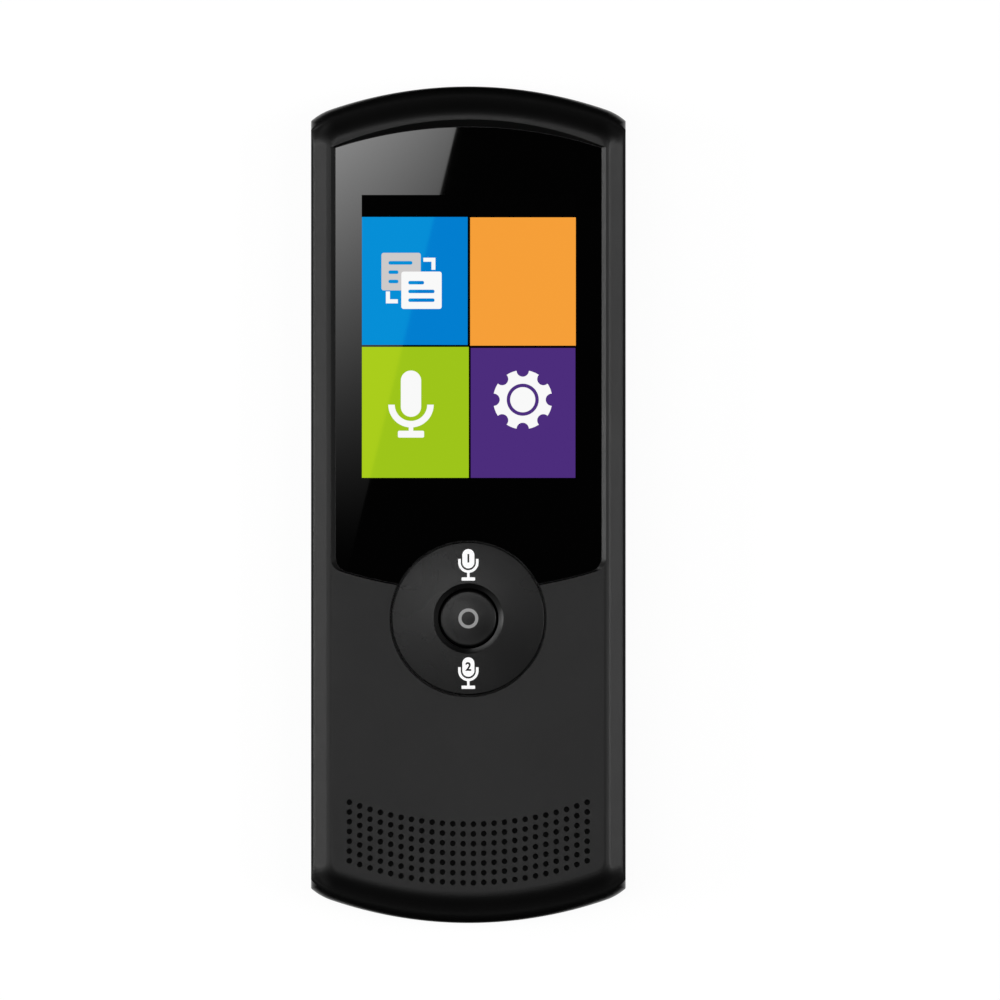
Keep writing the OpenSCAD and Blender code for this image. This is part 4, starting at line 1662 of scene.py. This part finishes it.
@dataclass
class Front:
    """The cover glass and the picture under it.

    Attributes:
        bottom: Height of the glass's back.
        top: Height of its face.
        edge: Width of its bevelled edge.
        film: Thickness of a layer of the picture.
        sunk: How far the picture reaches into the glass.
        tiles: The status bar and the four tiles.
        front_card: The front card of the text sign.
        back_card: Its rear card.
        marks: Outer corner, reach and stroke of its two corner marks.
        white: Colour of the signs.
        grey: Colour of the rear card.
    """

    palette: Palette
    casing: Casing
    bottom: float = 11.5
    top: float = 12.5
    edge: float = 0.03
    film: float = 0.008
    sunk: float = 0.05
    tiles: tuple[Tile, ...] = (
        Tile("status", (-18.29, 49.37), (18.45, 53.15), (0.0001, 0.0001, 0.0001)),
        Tile("blue", (-18.26, 27.42), (-0.12, 49.37), (0.0, 0.205, 0.617)),
        Tile("orange", (0.31, 27.3), (18.43, 49.3), (0.905, 0.342, 0.0395)),
        Tile("green", (-18.26, 4.62), (0.07, 27.08), (0.333, 0.546, 0.0095)),
        Tile("purple", (0.41, 4.62), (18.36, 26.9), (0.0704, 0.0252, 0.198)),
    )
    front_card: TextCard = TextCard(
        (-11.5, 33.6), (-4.58, 40.0), -10.3, ((-7.6, 38.1), (-5.8, 36.6), (-5.8, 35.1))
    )
    back_card: TextCard = TextCard(
        (-14.91, 36.77), (-8.17, 43.22), -13.7, ((-9.6, 41.5), (-12.0, 39.9), (-12.0, 38.3))
    )
    marks: tuple[tuple[Point2, float, float], ...] = (
        ((-5.65, 42.38), 2.07, 0.68),
        ((-14.15, 34.55), -2.05, -0.7),
    )
    white: Colour = (0.93, 0.93, 0.93)
    grey: Colour = (0.6, 0.58, 0.58)

    def glass(self) -> bpy.types.Object:
        """Builds the cover glass, with the notch round the ring key.

        Returns:
            The glass.
        """
        back_edge, gap, past = 0.05, 0.03, 0.02
        stations = [
            (self.bottom, -back_edge),
            (self.bottom + back_edge, 0.0),
            (self.top - self.edge, 0.0),
            (self.top - self.edge * 0.35, -self.edge * 0.3),
            (self.top, -self.edge),
        ]
        plate = loft([at_height(self.casing.lens.grown(grow).points(), z) for z, grow in stations])
        bore = rod_profile(self.casing.ring_opening - gap, self.bottom - 1, self.top + past, 0.05)
        lens = cut(plate, lathe(bore, 144, self.casing.ring_middle))
        return piece("cover_glass", lens, self.palette.glass, "casing", ["cover_lens"])

    def plate(self, name: str, solids: Sequence[BMesh], colour: Colour) -> bpy.types.Object:
        """One lit colour of the picture."""
        material = LitPicture(f"lit {name}", colour).make()
        return piece(f"picture_{name}", together(solids), material, "casing")

    def pictures(self) -> dict[str, bpy.types.Object]:
        """Builds the status bar, the four tiles and their signs.

        Returns:
            The plates by name.
        """
        under, face = self.top - self.sunk, self.top + self.film
        plates = {}
        for tile in self.tiles:
            solid = prism(bar_outline(tile.low, tile.high), under, face)
            plates[tile.name] = self.plate(tile.name, [solid], tile.colour)
        over = face + self.film
        microphone = Microphone().solid((-9.84, 23.03), under, over)
        gear = self.gear((9.33, 18.02), under, over)
        marks = [prism(corner_mark(*mark), under, over) for mark in self.marks]
        card = self.front_card.solid(under, over)
        plates["white"] = self.plate("white", [microphone, gear, card, *marks], self.white)
        middle = face + self.film / 2
        past = self.front_card.past
        rear = cut(self.back_card.solid(under, middle), self.front_card.blank(under - past, middle + past))
        plates["grey"] = self.plate("grey", [rear], self.grey)
        return plates

    def gear(self, middle: Point2, low: float, high: float) -> BMesh:
        """The settings sign: a wheel with eight notches round a hub.

        Args:
            middle: Its middle.
            low: Height of the plate's underside.
            high: Height of its face.

        Returns:
            The plate.
        """
        outer, notches, notch, notch_at, hub, bore = 5.08, 8, 1.06, 5.0038, 2.75, 2.16
        wheel = prism(disc_outline((0.0, 0.0), outer, 96), low, high)
        spots = arc((0.0, 0.0), notch_at, 0.0, 360.0, notches)[:-1]
        holes = [disc_outline(spot, notch, 24) for spot in spots] + [disc_outline((0.0, 0.0), hub, 64)]
        wheel = cut(wheel, *(prism(hole, low - 1, high + 1) for hole in holes))
        centre = prism(disc_outline((0.0, 0.0), bore, 64), low, high)
        return moved(together([wheel, centre]), (*middle, 0.0))

    def build(self) -> tuple[bpy.types.Object, dict[str, bpy.types.Object]]:
        """Builds the front's pieces.

        Returns:
            The cover glass, and the picture's plates by name.
        """
        glass = self.glass()
        plates = self.pictures()
        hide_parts("display_window")
        return glass, plates


# Keys
# ----


@dataclass
class RingKey:
    """The rocking ring and the key in its middle.

    Attributes:
        middle: Their middle.
        radius: The ring's radius.
        rim: Radius of its soft rim.
        hole: Radius of the ring's hole, below its slope.
        mouth: Radius of the hole in the ring's face.
        crown: Radius of the ring's domed face.
        apex: Height at which the dome would close over the middle.
        base: Height of the ring's underside.
        lip: Radius of the lip that the shell holds down.
        lip_z: Height of the lip's underside.
        groove: Inner and outer radius of the hollow under the ring.
        groove_z: Height of that hollow's roof.
        centre_radius: Radius of the middle key.
        centre_crown: Radius of its domed face.
        centre_apex: Height of its face.
        centre_base: Height of its underside.
    """

    palette: Palette
    middle: Point2 = (0.0, -19.5)
    radius: float = 13.12
    rim: float = 0.25
    hole: float = 5.15
    mouth: float = 6.05
    crown: float = 115.0
    apex: float = 13.47
    base: float = 9.3
    lip: float = 14.5
    lip_z: float = 8.5
    groove: Point2 = (7.2, 11.6)
    groove_z: float = 11.2
    centre_radius: float = 4.9
    centre_crown: float = 38.0
    centre_apex: float = 12.85
    centre_base: float = 8.8

    def dome(self, radii: Iterable[float]) -> list[Point2]:
        """Radius and height of the ring's face at some radii."""
        return [(r, self.apex - self.crown + math.sqrt(self.crown**2 - r**2)) for r in radii]

    def centre_dome(self, radii: Iterable[float]) -> list[Point2]:
        """Radius and height of the middle key's face at some radii."""
        crown = self.centre_crown
        return [(r, self.centre_apex - crown + math.sqrt(crown**2 - r**2)) for r in radii]

    def slope(self) -> list[Point2]:
        """Radius and height of the slope of the ring's hole, from its foot to the face."""
        mouth, (top,) = self.mouth, self.dome([self.mouth])
        return [(self.hole + 0.05, top[1] - 0.66), (mouth - 0.08, top[1] - 0.04), top]

    def ring(self) -> None:
        """Builds the ring, domed, with a soft rim and the ribs that it rocks on."""
        face = self.dome((7.4, 8.8, 10.2, 11.6, self.radius - self.rim))
        rim_middle = (self.radius - self.rim, face[-1][1] - self.rim + 0.02)
        slope = self.slope()
        inner, outer = self.groove
        profile = [
            (self.hole, self.base),
            (self.hole, slope[0][1] - 0.14),
            *slope,
            *face[:-1],
            *arc(rim_middle, self.rim, 78, 0, 4),
            (self.radius, self.base),
            (self.lip, self.base),
            (self.lip, self.lip_z),
            (outer, self.lip_z),
            (outer, self.groove_z),
            (inner, self.groove_z),
            (inner, self.base),
            (self.hole, self.base),
        ]
        rib, rib_start, rib_end, rib_z = 0.45, 13.55, 14.4, 9.5
        rod = rod_profile(rib, rib_start, rib_end)
        ribs = [moved(turned(lathe(rod, 20), "Y", 90 * side), (*self.middle, rib_z)) for side in SIDES]
        ring = added(lathe(profile, 160, self.middle), *ribs)
        piece("ring_key_body", ring, self.palette.key, "ring", ["ring_key"])

    def bevel(self) -> bpy.types.Object:
        """Builds the slope of the ring's hole as a skin of its own, which one lamp lights alone.

        Returns:
            The slope.
        """
        over, under, slope = 0.01, 0.02, self.slope()
        skin = [*((r, z + over) for r, z in slope), *((r, z - under) for r, z in reversed(slope))]
        lit = lathe([*skin, skin[0]], 160, self.middle)
        return piece("ring_key_bevel", lit, self.palette.key, "ring")

    def marks(self) -> None:
        """Builds the two numbered microphones printed on the ring."""
        marks = [self.mark(top, digit) for top, digit in ((11.91, "1"), (-6.67, "2"))]
        piece("ring_key_marks", together(marks), self.palette.ink, "ring", even_shading=False)

    def mark(self, top: float, digit: str) -> BMesh:
        """A numbered microphone printed on the domed face.

        Args:
            top: Its highest point, from the ring's middle.
            digit: The number in it.

        Returns:
            The print, as a thin plate that follows the face.
        """
        under, over, pitch = -0.03, 0.02, 0.5
        sign = Microphone(
            capsule_width=2.08,
            capsule_length=3.33,
            cradle_radius=1.75,
            cradle_low=4.09,
            cradle_high=1.69,
            stroke=0.45,
            stem_width=0.44,
            foot_width=2.32,
            foot_top=4.86,
            foot_low=5.42,
            digit=digit,
        ).solid((0.0, top), under, over)
        gridded(sign, pitch)
        for vert in sign.verts:
            vert.co.z += self.dome([math.hypot(vert.co.x, vert.co.y)])[0][1]
        return moved(sign, (*self.middle, 0.0))

    def centre(self) -> None:
        """Builds the middle key, its dark foot, which is wider and lower, and the ring printed on it."""
        radius, rim, over, under = self.centre_radius, 0.4, 0.012, 0.03
        face = self.centre_dome((0.0, 1.2, 2.4, 3.5, 4.4))
        edge = arc((radius - rim, face[-1][1] - rim + 0.01), rim, 76, 0, 4)
        profile = [(0.0, self.centre_base), (radius, self.centre_base), *reversed(edge), *reversed(face)]
        key = lathe(profile, 112, self.middle)
        piece("centre_key_body", key, self.palette.key, "centre", ["centre_key"])
        out, low, high = 6.6, 8.61, 8.78
        foot = lathe([(0.0, low), (out, low), (out, high), (0.0, high)], 64, self.middle)
        piece("centre_key_foot", foot, self.palette.rubber, "centre")
        line = self.centre_dome((1.17, 1.44, 1.71))
        upper = [(r, z + over) for r, z in line]
        lower = [(r, z - under) for r, z in reversed(line)]
        mark = lathe([*upper, *lower, upper[0]], 64, self.middle)
        piece("centre_key_mark", mark, self.palette.soft_ink, "centre", even_shading=False)

    def build(self) -> bpy.types.Object:
        """Builds the ring and the middle key.

        Returns:
            The slope of the ring's hole.
        """
        self.ring()
        bevel = self.bevel()
        self.marks()
        self.centre()
        return bevel


@dataclass
class SideKeys:
    """The power key on the right and the volume rocker on the left.

    Attributes:
        casing: The casing whose slots they stand in.
        face_x: How far out their faces stand.
        power_root: How far out the power key's flange reaches.
        volume_root: The same of the rocker's flange.
        flange: How much larger a flange is than its key.
        sign: Distance of the rocker's plus and minus from its middle.
        stroke: Half the length and half the width of a stroke of the plus.
    """

    palette: Palette
    casing: Casing
    face_x: float = 26.95
    power_root: float = 25.5
    volume_root: float = 25.1
    flange: float = 0.9
    sign: float = 7.2
    stroke: Point2 = (0.7, 0.14)

    def key(self, length: float, root_x: float) -> BMesh:
        """A key on the right side: a flange behind the wall and a bar with a soft face.

        Args:
            length: The key's length.
            root_x: How far out the flange reaches.

        Returns:
            The key.
        """
        face, height = self.face_x, self.casing.side_key_height
        stations = [(root_x - 0.5, 0.0), (face - 0.3, 0.0), (face - 0.09, -0.09), (face, -0.32)]
        shown = Stadium(length, height).bar(stations)
        flange = Stadium(length + self.flange, height + self.flange).bar([(root_x - 1.0, 0.0), (root_x, 0.0)])
        return self.casing.on_side(added(shown, flange))

    def groove(self, y: float, half_length: float, half_height: float) -> BMesh:
        """The cutter of a groove in the face of a key on the right side.

        Args:
            y: Its place from the key's middle.
            half_length: Half its length along the key.
            half_height: Half its height.

        Returns:
            The cutter.
        """
        depth, past, z = 0.12, 0.2, self.casing.side_key_z
        y += self.casing.side_key_y
        low = (self.face_x - depth, y - half_length, z - half_height)
        return block(low, (self.face_x + past, y + half_length, z + half_height))

    def build(self) -> None:
        """Builds both keys, the rocker with a minus, a plus and the ribs that it rocks on."""
        power = self.key(self.casing.power_length, self.power_root)
        piece("power_key_body", power, self.palette.key, "power", ["power_key"])
        rocker = self.key(self.casing.volume_length, self.volume_root)
        long, thin = self.stroke
        strokes = [(side * self.sign, long, thin) for side in SIDES] + [(self.sign, thin, long)]
        rocker = cut(rocker, *(self.groove(*stroke) for stroke in strokes))
        rib, rib_half, rib_rise = 0.4, 0.15, 1.45
        y, z = self.casing.side_key_y, self.casing.side_key_z
        profile = rod_profile(rib, -rib_half, rib_half)
        ribs = [moved(lathe(profile, 20), (self.volume_root, y, z + side * rib_rise)) for side in SIDES]
        rocker = flipped(added(rocker, *ribs))
        piece("volume_key_body", rocker, self.palette.key, "volume", ["volume_key"])


# Sockets
# ----


@dataclass
class Sockets:
    """The charging socket in the lower end and the headset socket in the upper end.

    Attributes:
        casing: The casing whose ends they stand in.
        charge_mouth: Distance of the charging socket's mouth from the middle.
        charge_depth: Its depth.
        charge_size: Its length and height.
        charge_wall: Its wall.
        tongue: Half the thickness of its tongue.
        contacts: The number of contacts on each side of the tongue.
        contact_pitch: Their pitch.
        headset_back: Distance of the headset socket's back from the middle.
        headset_block: The same of its block's front.
        headset_mouth: The same of its mouth.
        headset_bore: Radius of its bore.
    """

    palette: Palette
    casing: Casing
    charge_mouth: float = 71.2
    charge_depth: float = 7.5
    charge_size: Point2 = (8.9, 3.2)
    charge_wall: float = 0.3
    tongue: float = 0.35
    contacts: int = 10
    contact_pitch: float = 0.5
    headset_back: float = 57.0
    headset_block: float = 68.4
    headset_mouth: float = 71.6
    headset_bore: float = 1.8

    def charge(self) -> None:
        """Builds the charging socket, its tongue and the contacts on the tongue."""
        mouth, back, z = self.charge_mouth, self.charge_mouth - self.charge_depth, self.casing.charge_z
        length, height = self.charge_size
        outer = Stadium(length, height).bar([(back, 0.0), (mouth - 0.1, 0.0), (mouth, -0.1)])
        inside = Stadium(length - 2 * self.charge_wall, height - 2 * self.charge_wall)
        inner = inside.bar([(back + 1.2, 0.0), (mouth - 0.12, 0.0), (mouth + 0.1, 0.22)])
        shell = out_of(End.LOWER, cut(outer, inner), 0.0, z)
        piece("charge_socket_shell", shell, self.palette.steel, "casing", ["charge_socket"])
        low_y, high_y = 1.0 - mouth, -back - 1.15
        half = length * 0.37
        tongue = block((-half, low_y, z - self.tongue), (half, high_y, z + self.tongue), 0.12)
        piece("charge_socket_tongue", tongue, self.palette.socket, "casing")
        start, end, half_width, relief = low_y + 0.25, low_y + 3.2, 0.13, 0.03
        contacts = []
        for i in range(self.contacts):
            x = (i - (self.contacts - 1) / 2) * self.contact_pitch
            for face in (z - self.tongue, z + self.tongue):
                low = (x - half_width, start, face - relief)
                contacts.append(block(low, (x + half_width, end, face + relief)))
        piece("charge_socket_contacts", together(contacts), self.palette.gold, "casing")

    def headset(self) -> None:
        """Builds the headset socket: a block, and a nose with a bevelled bore."""
        mouth, z, past = self.headset_mouth, self.casing.headset_z, 0.05
        nose_radius, nose_root, edge = 2.4, self.headset_block - 0.5, 0.15
        half, low, high, body_edge = 3.5, 1.5, 7.0, 0.2
        body = block((-half, self.headset_back, low), (half, self.headset_block, high), body_edge)
        nose_end = [(nose_radius, mouth - edge), (nose_radius - edge, mouth), (0.0, mouth)]
        nose = lathe([(0.0, nose_root), (nose_radius, nose_root), *nose_end], 48)
        bore = lathe(rod_profile(self.headset_bore, self.headset_back + 2.0, mouth + past, 0.2), 48)
        nose, bore = (out_of(End.UPPER, solid, 0.0, z) for solid in (nose, bore))
        socket = cut(added(body, nose), bore)
        piece("headset_socket", socket, self.palette.socket, "casing", ["audio_socket"])

    def build(self) -> None:
        """Builds both sockets."""
        self.charge()
        self.headset()


# What the casing holds, which keeps the frame's own shapes
# ----


@dataclass
class Inside:
    """Finishes of the frame's nodes that are shown as they are."""

    palette: Palette

    def finishes(self) -> dict[str, bpy.types.Material]:
        """The finish of each node.

        Returns:
            The materials by the node's name.
        """
        p = self.palette
        return {
            "lens_tape": p.tape,
            "display_panel": p.panel,
            "display_tray": p.steel,
            "display_ribbon": p.copper_film,
            "display_socket": p.ivory,
            "key_web": p.silicone,
            "key_domes": p.steel,
            "main_board": p.board,
            "processor_chip": p.package,
            "memory_chip": p.package,
            "shield_can": p.steel,
            "board_parts": p.ceramic,
            "board_screws": p.dark_screw,
            "battery_cell": p.foil,
            "battery_tape": p.tape,
            "battery_plug": p.ivory,
            "battery_leads": p.wire,
            "speaker_driver": p.package,
            "speaker_gasket": p.foam,
            "speaker_mesh": p.mesh,
            "charge_board": p.board,
            "board_link": p.copper_film,
            "lower_microphone": p.steel,
            "upper_microphone": p.steel,
            "power_switch": p.steel,
            "volume_switches": p.steel,
            "antenna": p.copper_film,
        }

    def build(self) -> None:
        """Gives each node its finish."""
        for name, material in self.finishes().items():
            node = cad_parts[name]
            node.data.materials.clear()
            node.data.materials.append(material)
        log.info("inside: %d nodes dressed", len(self.finishes()))


# Studio
# ----


def light_only(lamp: bpy.types.Object, receiver: bpy.types.Object) -> None:
    """Makes a lamp light one piece and nothing else.

    Args:
        lamp: The lamp.
        receiver: The piece.
    """
    lit = bpy.data.collections.new(lamp.name)
    lit.objects.link(receiver)
    lamp.light_linking.receiver_collection = lit


@dataclass(frozen=True)
class SoftBox:
    """A rectangular lamp that faces the middle of the object.

    Attributes:
        name: Its name.
        polar: Its angle from upright, in degrees.
        azimuth: The side that it stands on, in degrees from +X towards +Y.
        width: The angle that its width fills, seen from the object, in degrees.
        height: The angle that its height fills, in degrees.
        radiance: How bright its face is, where 1 lights a white wall to 1 from all round.
        distance: Its distance, in metres.
    """

    name: str
    polar: float
    azimuth: float
    width: float
    height: float
    radiance: float
    distance: float = 5.0

    def build(self, receiver: bpy.types.Object | None = None) -> None:
        """Builds the lamp.

        Args:
            receiver: The only piece that it lights, or nothing for the whole object.
        """
        lamp = bpy.data.lights.new(self.name, "AREA")
        lamp.shape = "RECTANGLE"
        lamp.size = 2 * self.distance * math.tan(math.radians(self.width / 2))
        lamp.size_y = 2 * self.distance * math.tan(math.radians(self.height / 2))
        lamp.energy = self.radiance * math.pi * lamp.size * lamp.size_y
        polar, azimuth = math.radians(self.polar), math.radians(self.azimuth)
        flat = math.sin(polar)
        towards = Vector((flat * math.cos(azimuth), flat * math.sin(azimuth), math.cos(polar)))
        held = placed(self.name, lamp)
        held.location = towards * self.distance
        held.rotation_mode = "QUATERNION"
        held.rotation_quaternion = (-towards).to_track_quat("-Z", "Y")
        held.visible_camera = False
        if receiver:
            light_only(held, receiver)


@dataclass
class Studio:
    """Floor, lamps, world and camera.

    Attributes:
        view_x: Where the camera's axis meets the object, across, in metres.
        view_y: The same, along.
        view_z: Height at which the scale is taken, between the glass and the widest outline.
        view_width: Width of the picture at that height, in metres.
        camera_height: Distance of the camera from it, in metres.
        sensor: Width of the camera's sensor, in millimetres.
        boxes: The lamps that light the whole object.
        bevel_box: The lamp that lights only the slope of the ring key's hole.
    """

    view_x: float = 0.00543
    view_y: float = 0.000815
    view_z: float = 0.0105
    view_width: float = 0.1716
    camera_height: float = 8.0
    sensor: float = 36.0
    boxes: tuple[SoftBox, ...] = (
        SoftBox("key box", 7.5, 139.0, 8.0, 7.0, 11.9),
        SoftBox("lower key box", 8.8, 232.0, 26.0, 8.0, 2.6),
        SoftBox("upper key box", 7.5, 56.0, 17.0, 8.0, 3.5),
        SoftBox("high box left", 31.5, 180.0, 20.5, 24.0, 3.05),
        SoftBox("high box right", 27.5, 0.0, 20.0, 17.0, 3.7),
        SoftBox("side box left", 46.5, 180.0, 27.0, 17.0, 1.5),
        SoftBox("side box right", 48.5, 0.0, 20.0, 6.0, 19.5),
        SoftBox("low box left", 63.0, 180.0, 20.5, 5.0, 27.0),
        SoftBox("low box upper left", 85.0, 137.0, 7.5, 8.5, 10.0),
    )
    bevel_box: SoftBox = SoftBox("ring box", 75.0, 140.0, 85.0, 16.0, 4.0)

    def camera(self) -> None:
        """Places the camera straight above the object."""
        data = bpy.data.cameras.new("camera")
        data.sensor_width = self.sensor
        data.lens = self.sensor * self.camera_height / self.view_width
        data.clip_start = 0.05
        data.clip_end = 50.0
        held = placed("camera", data)
        held.location = (self.view_x, self.view_y, self.view_z + self.camera_height)
        bpy.context.scene.camera = held

    def floor(self) -> None:
        """Lays the floor, which shows white, keeps the object's shadow, and has a painted shadow round the
        object that shows only in reflections.
        """
        radius, gap, shown_share, brightness, grey = 14.0, 0.00002, 0.9, 1.033, (0.85, 0.85, 0.85, 1.0)
        plane = bmesh.new()
        bmesh.ops.create_circle(plane, cap_ends=True, segments=96, radius=radius)
        mesh = as_mesh(plane, "floor")
        held = placed("floor", mesh)
        held.location = (0.0, 0.0, -gap)
        material = bpy.data.materials.new("pale floor")
        material.use_nodes = True
        material.node_tree.nodes.clear()
        write = Shader(material.node_tree)
        path = write.add("ShaderNodeLightPath").outputs
        gloss = path["Is Glossy Ray"]
        seen = write.math("MAXIMUM", path["Is Camera Ray"], path["Is Transmission Ray"])
        share = write.math("MAXIMUM", write.math("MULTIPLY", seen, shown_share), gloss)
        # In reflections the floor's light is dimmed round the object: a painted shadow that darkens the
        # casing's edges.
        dimmed = write.math("MULTIPLY", gloss, self.painted_shadow(write))
        strength = write.math("MULTIPLY", write.math("SUBTRACT", 1.0, dimmed), brightness)
        matt = write.add("ShaderNodeBsdfDiffuse", None, Color=grey)
        light = write.add("ShaderNodeEmission", None, Strength=strength)
        mix = write.add("ShaderNodeMixShader", None, Fac=share, i1=matt.outputs[0], i2=light.outputs[0])
        write.add("ShaderNodeOutputMaterial", None, Surface=mix.outputs[0])
        mesh.materials.append(material)

    @staticmethod
    def painted_shadow(write: Shader) -> bpy.types.NodeSocket:
        """A painted shadow on the floor, seen only in reflections: how much darker it is than its far parts,
        most round the object, less at its sides.

        Args:
            write: The writer of the floor's nodes.

        Returns:
            The painted shadow, from 0 to 1.
        """
        half_width, half_length, reach = 0.027, 0.072, 0.6
        beside, beyond, open_share = 0.03, 0.004, 0.9
        place = write.parts(write.coordinates())
        away = {}
        for axis, half in (("X", half_width), ("Y", half_length)):
            past = write.math("SUBTRACT", write.math("ABSOLUTE", place[axis]), half)
            away[axis] = write.math("MAXIMUM", past, 0.0)
        gap = write.add("ShaderNodeCombineXYZ", None, **away).outputs[0]
        length = write.add("ShaderNodeVectorMath", {"operation": "LENGTH"}, i0=gap).outputs["Value"]
        wide = write.ease(length, 0.0, reach, 1.0, 0.0)
        across = write.ease(away["X"], 0.0, beside, open_share, 0.0)
        along = write.ease(away["Y"], 0.0, beyond, 1.0, 0.0)
        return write.math("SUBTRACT", wide, write.math("MULTIPLY", across, along), clamp=True)

    @staticmethod
    def walls(write: Shader) -> bpy.types.NodeSocket:
        """Brightness of the surroundings in a mirror: dark above and lighter low down, most at the left.

        Args:
            write: The writer of the world's nodes.

        Returns:
            The brightness.
        """
        above, ends, left, right = 0.012, 0.1, 0.9, 0.3
        place = write.parts(write.add("ShaderNodeTexCoord").outputs["Generated"])
        low = write.ease(place["Z"], 0.2, 0.75, 1.0, 0.0)
        left_side = write.ease(place["X"], -0.35, -0.8, ends, left)
        right_side = write.ease(place["X"], 0.35, 0.8, 0.0, right)
        light = write.math("MULTIPLY", write.math("ADD", left_side, right_side), low)
        return write.math("ADD", light, above)

    def world(self) -> None:
        """Gives the surroundings their light."""
        matt_light, white = 0.2, (1.0, 1.0, 1.0, 1.0)
        world = bpy.data.worlds.new("surroundings")
        bpy.context.scene.world = world
        world.use_nodes = True
        world.node_tree.nodes.clear()
        write = Shader(world.node_tree)
        path = write.add("ShaderNodeLightPath").outputs
        matt, walls = path["Is Diffuse Ray"], self.walls(write)
        light = write.add("ShaderNodeMix", None, Factor=matt, A=walls, B=matt_light)
        plain = write.add("ShaderNodeBackground", None, Color=white, Strength=light.outputs[0])
        shown = write.add("ShaderNodeBackground", None, Color=white, Strength=1.0)
        seen = path["Is Camera Ray"]
        mix = write.add("ShaderNodeMixShader", None, Fac=seen, i1=plain.outputs[0], i2=shown.outputs[0])
        write.add("ShaderNodeOutputWorld", None, Surface=mix.outputs[0])

    def sheen(self, glass: bpy.types.Object, tiles: dict[str, bpy.types.Object]) -> None:
        """Places the slanted cards whose reflection lies on the glass.

        Args:
            glass: The cover glass.
            tiles: The lit parts of the picture, by name, which show the sheen only faintly.
        """
        SheenCard("sheen card", self).build(glass)
        faint = SheenCard("faint sheen card", self, radiance=1.6, fall=0.0, left=1.0, right=1.0)
        replace(faint, name="blue sheen card", colour=(0.02, 1.0, 0.8)).build(tiles["blue"])
        replace(faint, name="green sheen card", colour=(1.0, 0.9, 0.02)).build(tiles["green"])

    def build(
        self, glass: bpy.types.Object, tiles: dict[str, bpy.types.Object], bevel: bpy.types.Object
    ) -> None:
        """Builds the studio round the object.

        Args:
            glass: The cover glass.
            tiles: The lit parts of the picture, by name.
            bevel: The slope of the ring key's hole.
        """
        self.camera()
        self.floor()
        self.world()
        for box in self.boxes:
            box.build()
        self.bevel_box.build(bevel)
        self.sheen(glass, tiles)
        bpy.context.scene.view_settings.view_transform = "Standard"


@dataclass
class SheenCard:
    """A card lamp between the camera and the glass, with one straight edge.

    The reflection's edge is given where it lies on the glass, in metres, and the card stands where
    the glass mirrors it into the camera.

    Attributes:
        name: Its name.
        studio: The studio, whose camera it is placed for.
        radiance: Its brightness, before it fades.
        colour: Its colour.
        fall: How fast it fades downwards, as a power.
        left: Its share of brightness at its left end.
        right: The same at its edge.
        edge_low: Lower point of the reflection's edge.
        edge_high: Upper point of the reflection's edge.
        below: How far the card runs on below the lower point.
        above: How far it runs on above the upper point.
        depth: How far it reaches to the left of the edge.
        height: Its height above the glass.
    """

    name: str
    studio: Studio
    radiance: float = 8.72
    colour: Colour = (1.0, 1.0, 1.0)
    fall: float = 1.95
    left: float = 1.555
    right: float = 0.433
    edge_low: Point2 = (-0.0168, 0.00476)
    edge_high: Point2 = (-0.00204, 0.06482)
    below: float = 0.018
    above: float = 0.010
    depth: float = 0.036
    height: float = 0.15

    def build(self, receiver: bpy.types.Object) -> None:
        """Builds the card.

        Args:
            receiver: The piece that it shows on.
        """
        low, high = Vector(self.edge_low), Vector(self.edge_high)
        along = (high - low).normalized()
        across = Vector((along.y, -along.x))
        length = (high - low).length + self.below + self.above
        middle = low + along * (length / 2 - self.below) - across * (self.depth / 2)
        grow = self.height / self.studio.camera_height + 1.0
        eye = Vector((self.studio.view_x, self.studio.view_y))
        spot = middle * grow - eye * (grow - 1.0)
        lamp = bpy.data.lights.new(self.name, "AREA")
        lamp.shape = "RECTANGLE"
        lamp.size = self.depth * grow
        lamp.size_y = length * grow
        lamp.energy = self.radiance * math.pi * lamp.size * lamp.size_y
        lamp.color = self.colour
        self.fade(lamp)
        held = placed(self.name, lamp)
        held.location = (*spot, self.studio.view_z + self.height)
        held.rotation_euler = (0.0, 0.0, math.atan2(across.y, across.x))
        held.visible_camera = False
        held.visible_diffuse = False
        light_only(held, receiver)

    def fade(self, lamp: bpy.types.Light) -> None:
        """Makes the card fade towards its lower end and towards its edge.

        Args:
            lamp: The card's lamp.
        """
        lamp.use_nodes = True
        write = Shader(lamp.node_tree)
        place = write.parts(write.add("ShaderNodeNewGeometry").outputs["Parametric"])
        fall = write.math("POWER", place["Y"], self.fall)
        side = write.spread(place["X"], self.left, self.right)
        emission = next(n for n in lamp.node_tree.nodes if n.bl_idname == "ShaderNodeEmission")
        write.feed(emission, Strength=write.math("MULTIPLY", fall, side))


def main() -> None:
    """Builds the object's pieces and the studio round them."""
    logging.basicConfig(level=logging.INFO, format="%(message)s")
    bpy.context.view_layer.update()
    palette = Palette()
    casing = Casing(palette)
    casing.build()
    glass, plates = Front(palette, casing).build()
    bevel = RingKey(palette, casing.ring_middle).build()
    SideKeys(palette, casing).build()
    Sockets(palette, casing).build()
    Inside(palette).build()
    Studio().build(glass, plates, bevel)


if __name__ == "__main__":
    main()
